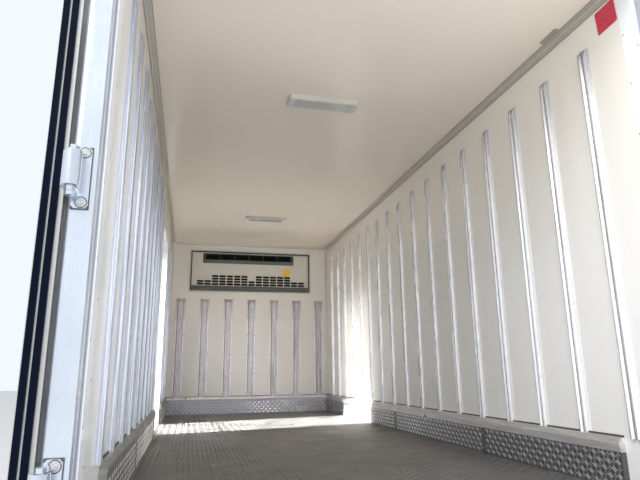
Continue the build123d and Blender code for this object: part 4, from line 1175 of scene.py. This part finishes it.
def unit_fasteners():
    """Latches and screws on the panels of the refrigeration unit."""
    low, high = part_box("refrigeration_unit")
    grille_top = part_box("unit_grille")[1].z
    places = []
    for x in (low.x + 0.09, high.x - 0.09):
        for z in (low.z + 0.08, grille_top - 0.05):
            places.append(((x, high.y, z), "+Y"))
    for side, facing in ((-1, "-X"), (1, "+X")):
        for z in (low.z + 0.10, high.z - 0.22):
            places.append(((side * high.x, high.y - 0.16, z), facing))
    scatter("unit_latches", latch(), places, BOLT_STEEL)
    places = []
    for x in steps(low.x + 0.06, high.x - 0.06, 0.21):
        for z in (low.z + 0.025, grille_top + 0.06):
            places.append(((x, high.y, z), "+Y"))
    scatter("unit_screws", rivet(0.0055, 0.0025), places, STEEL_DARK)


# Floor drains and the side threshold

GRATE_SLOT_HALF = 0.0018
GRATE_PITCH = 0.0065


def drain_grates():
    """A round slotted grate in each floor drain."""
    grates = []
    for low, high in island_boxes("drain_spouts"):
        middle = (low + high) / 2
        plate = disc(32, 0.0195, 0.003, (middle.x, middle.y, DECK - 0.0025))
        cuts = []
        for i in range(-2, 3):
            x = middle.x + i * GRATE_PITCH
            reach = 0.014 if i else 0.016
            cuts.append(block(
                "cut", (x - GRATE_SLOT_HALF, middle.y - reach, DECK - 0.01),
                (x + GRATE_SLOT_HALF, middle.y + reach, DECK + 0.01)))
        cutter = joined("cutter", cuts)
        modify(plate, "BOOLEAN", operation="DIFFERENCE", object=cutter, solver="EXACT")
        bpy.data.objects.remove(cutter)
        grates.append(plate)
    dress(joined("drain_grates", grates), BOLT_STEEL)


def threshold_ribs():
    """Ribs that keep a foot from slipping on the side threshold."""
    low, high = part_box("side_frame")
    top = DECK + 0.006
    rib = block(
        "threshold_ribs", (low.x + 0.006, low.y + 0.02, top - 0.0005),
        (low.x + 0.010, high.y - 0.02, top + 0.0016))
    round_edges(rib, 0.0008)
    repeat(rib, (0.009, 0, 0), 8)
    dress(rib, ALUMINIUM)


lay_lugs()
rib_rivets()
cove_rivets()
jamb_screws()
cover_screws()
lamp_screws()
evaporator_screws()
outer_rivets()
frame_screws()
sealant_runs()
coil_fins()
patch("red_patch", (SIDE - 0.0001, -2.524, 2.3175), 0.115, "-X", -3, RED_FILM)
patch("yellow_patch", (0.467, EVAPORATOR_FACE - 0.0001, 2.068), 0.094, "-Y", 1, YELLOW_FILM)
door_hardware()
plate_hardware()
buffer_bolts()
unit_joints()
unit_vents()
unit_fasteners()
drain_grates()
threshold_ribs()


# Camera, floor and light

CAMERA_PLACE = Vector((-0.7365, -4.272, 0.791))
CAMERA_YAW = 0.2351
CAMERA_PITCH = 0.2409
CAMERA_ROLL = -0.0117
CAMERA_LENS = 30.35
SENSOR = 36.0
CLIP = (0.05, 200.0)
STUDIO = 60.0
SKY = (0.90, 0.95, 1.0, 1.0)
SKY_LIGHT = 0.8
BEAM_COLOUR = (1.0, 0.97, 0.92)
BEAM_BACK = 2.5


def camera():
    """The photograph's view from behind the open doorway."""
    forward = Vector((
        sin(CAMERA_YAW) * cos(CAMERA_PITCH), cos(CAMERA_YAW) * cos(CAMERA_PITCH), sin(CAMERA_PITCH)))
    level = Vector((cos(CAMERA_YAW), -sin(CAMERA_YAW), 0))
    over = level.cross(forward)
    right = level * cos(CAMERA_ROLL) + over * sin(CAMERA_ROLL)
    up = over * cos(CAMERA_ROLL) - level * sin(CAMERA_ROLL)
    data = bpy.data.cameras.new("camera")
    data.sensor_width = SENSOR
    data.lens = CAMERA_LENS
    data.clip_start, data.clip_end = CLIP
    eye = bpy.data.objects.new("camera", data)
    facing = Matrix((right, up, -forward)).transposed()
    eye.matrix_world = Matrix.Translation(CAMERA_PLACE) @ facing.to_4x4()
    bpy.context.scene.collection.objects.link(eye)
    bpy.context.scene.camera = eye


def area_lamp(name, place, aim, size, power, colour=(1, 1, 1)):
    """A soft square lamp that the camera doesn't see."""
    data = bpy.data.lights.new(name, "AREA")
    data.shape = "RECTANGLE"
    data.size, data.size_y = size
    data.energy = power
    data.color = colour
    lamp = bpy.data.objects.new(name, data)
    lamp.location = place
    lamp.rotation_euler = (Vector(aim) - Vector(place)).to_track_quat("-Z", "Y").to_euler()
    lamp.visible_camera = False
    bpy.context.scene.collection.objects.link(lamp)
    return lamp


def stage():
    """Pale floor and plain world, which is brighter to the camera and in mirrors than as a light."""
    select_none()
    bpy.ops.mesh.primitive_plane_add(size=STUDIO, location=(0, 0, 0))
    ground = bpy.context.object
    ground.name = "studio_floor"
    f = Finish("studio_floor", (0.80, 0.80, 0.79), 0.6)
    f.set("Base Color", f.tint(f.noise(f.place(), 0.7, 2.0), (0.79, 0.79, 0.78), (0.82, 0.82, 0.81)))
    ground.data.materials.append(f.material)
    world = bpy.data.worlds.new("studio")
    world.use_nodes = True
    bpy.context.scene.world = world
    tree = world.node_tree
    back = tree.nodes["Background"]
    path = tree.nodes.new("ShaderNodeLightPath")
    seen = path.outputs["Is Camera Ray"]
    for ray in ("Is Glossy Ray", "Is Transmission Ray"):
        either = tree.nodes.new("ShaderNodeMath")
        either.operation = "MAXIMUM"
        tree.links.new(seen, either.inputs[0])
        tree.links.new(path.outputs[ray], either.inputs[1])
        seen = either.outputs[0]
    strength = tree.nodes.new("ShaderNodeMix")
    tree.links.new(seen, strength.inputs[0])
    strength.inputs[2].default_value = SKY_LIGHT
    strength.inputs[3].default_value = 1.0
    back.inputs["Color"].default_value = SKY
    tree.links.new(strength.outputs[0], back.inputs["Strength"])


def spare_doors(lamp):
    """Keeps a lamp near a doorway off the doors and the studio floor, which it would over-light."""
    spared = bpy.data.collections.get("spared") or bpy.data.collections.new("spared")
    if not spared.objects:
        for piece in bpy.context.scene.objects:
            if piece.name.startswith(("rear_left", "rear_right", "side_door", "studio_floor")):
                spared.objects.link(piece)
        for item in spared.collection_objects:
            item.light_linking.link_state = "EXCLUDE"
    lamp.light_linking.receiver_collection = spared


def side_door_beams():
    """Two lamps through the side doorway: a steep one on the floor, a soft low one on the wall."""
    low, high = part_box("side_frame")
    middle = Vector((-OUT, (low.y + high.y) / 2, (low.z + high.z) / 2))
    for name, way, size, power, spread in (
            ("side_beam_steep", (1.0, 0.21, -0.75), (0.94, 1.34), 170.0, 2.0),
            ("side_beam_low", (1.0, 0.21, -0.23), (0.90, 1.55), 3.6, 10.0)):
        back = middle - Vector(way).normalized() * BEAM_BACK
        lamp = area_lamp(name, back, middle, size, power, BEAM_COLOUR)
        lamp.data.spread = radians(spread)
        lamp.visible_glossy = name == "side_beam_steep"
        spare_doors(lamp)


camera()
stage()
spare_doors(area_lamp(
    "doorway_light", (0.15, REAR - 0.5, 1.40), (0.15, REAR + 2.0, 1.25), (2.2, 2.0), 17.0))
area_lamp("key", (-5.0, -6.5, 7.0), (0, 0, 1.0), (5.0, 5.0), 470.0)
glow = area_lamp(
    "floor_glow", (0.40, 1.45, DECK + 0.06), (0.45, 1.60, CEILING), (1.1, 1.1), 4.5, (1.0, 0.95, 0.87))
glow.visible_glossy = False
side_door_beams()
bpy.context.scene.view_settings.view_transform = "Standard"
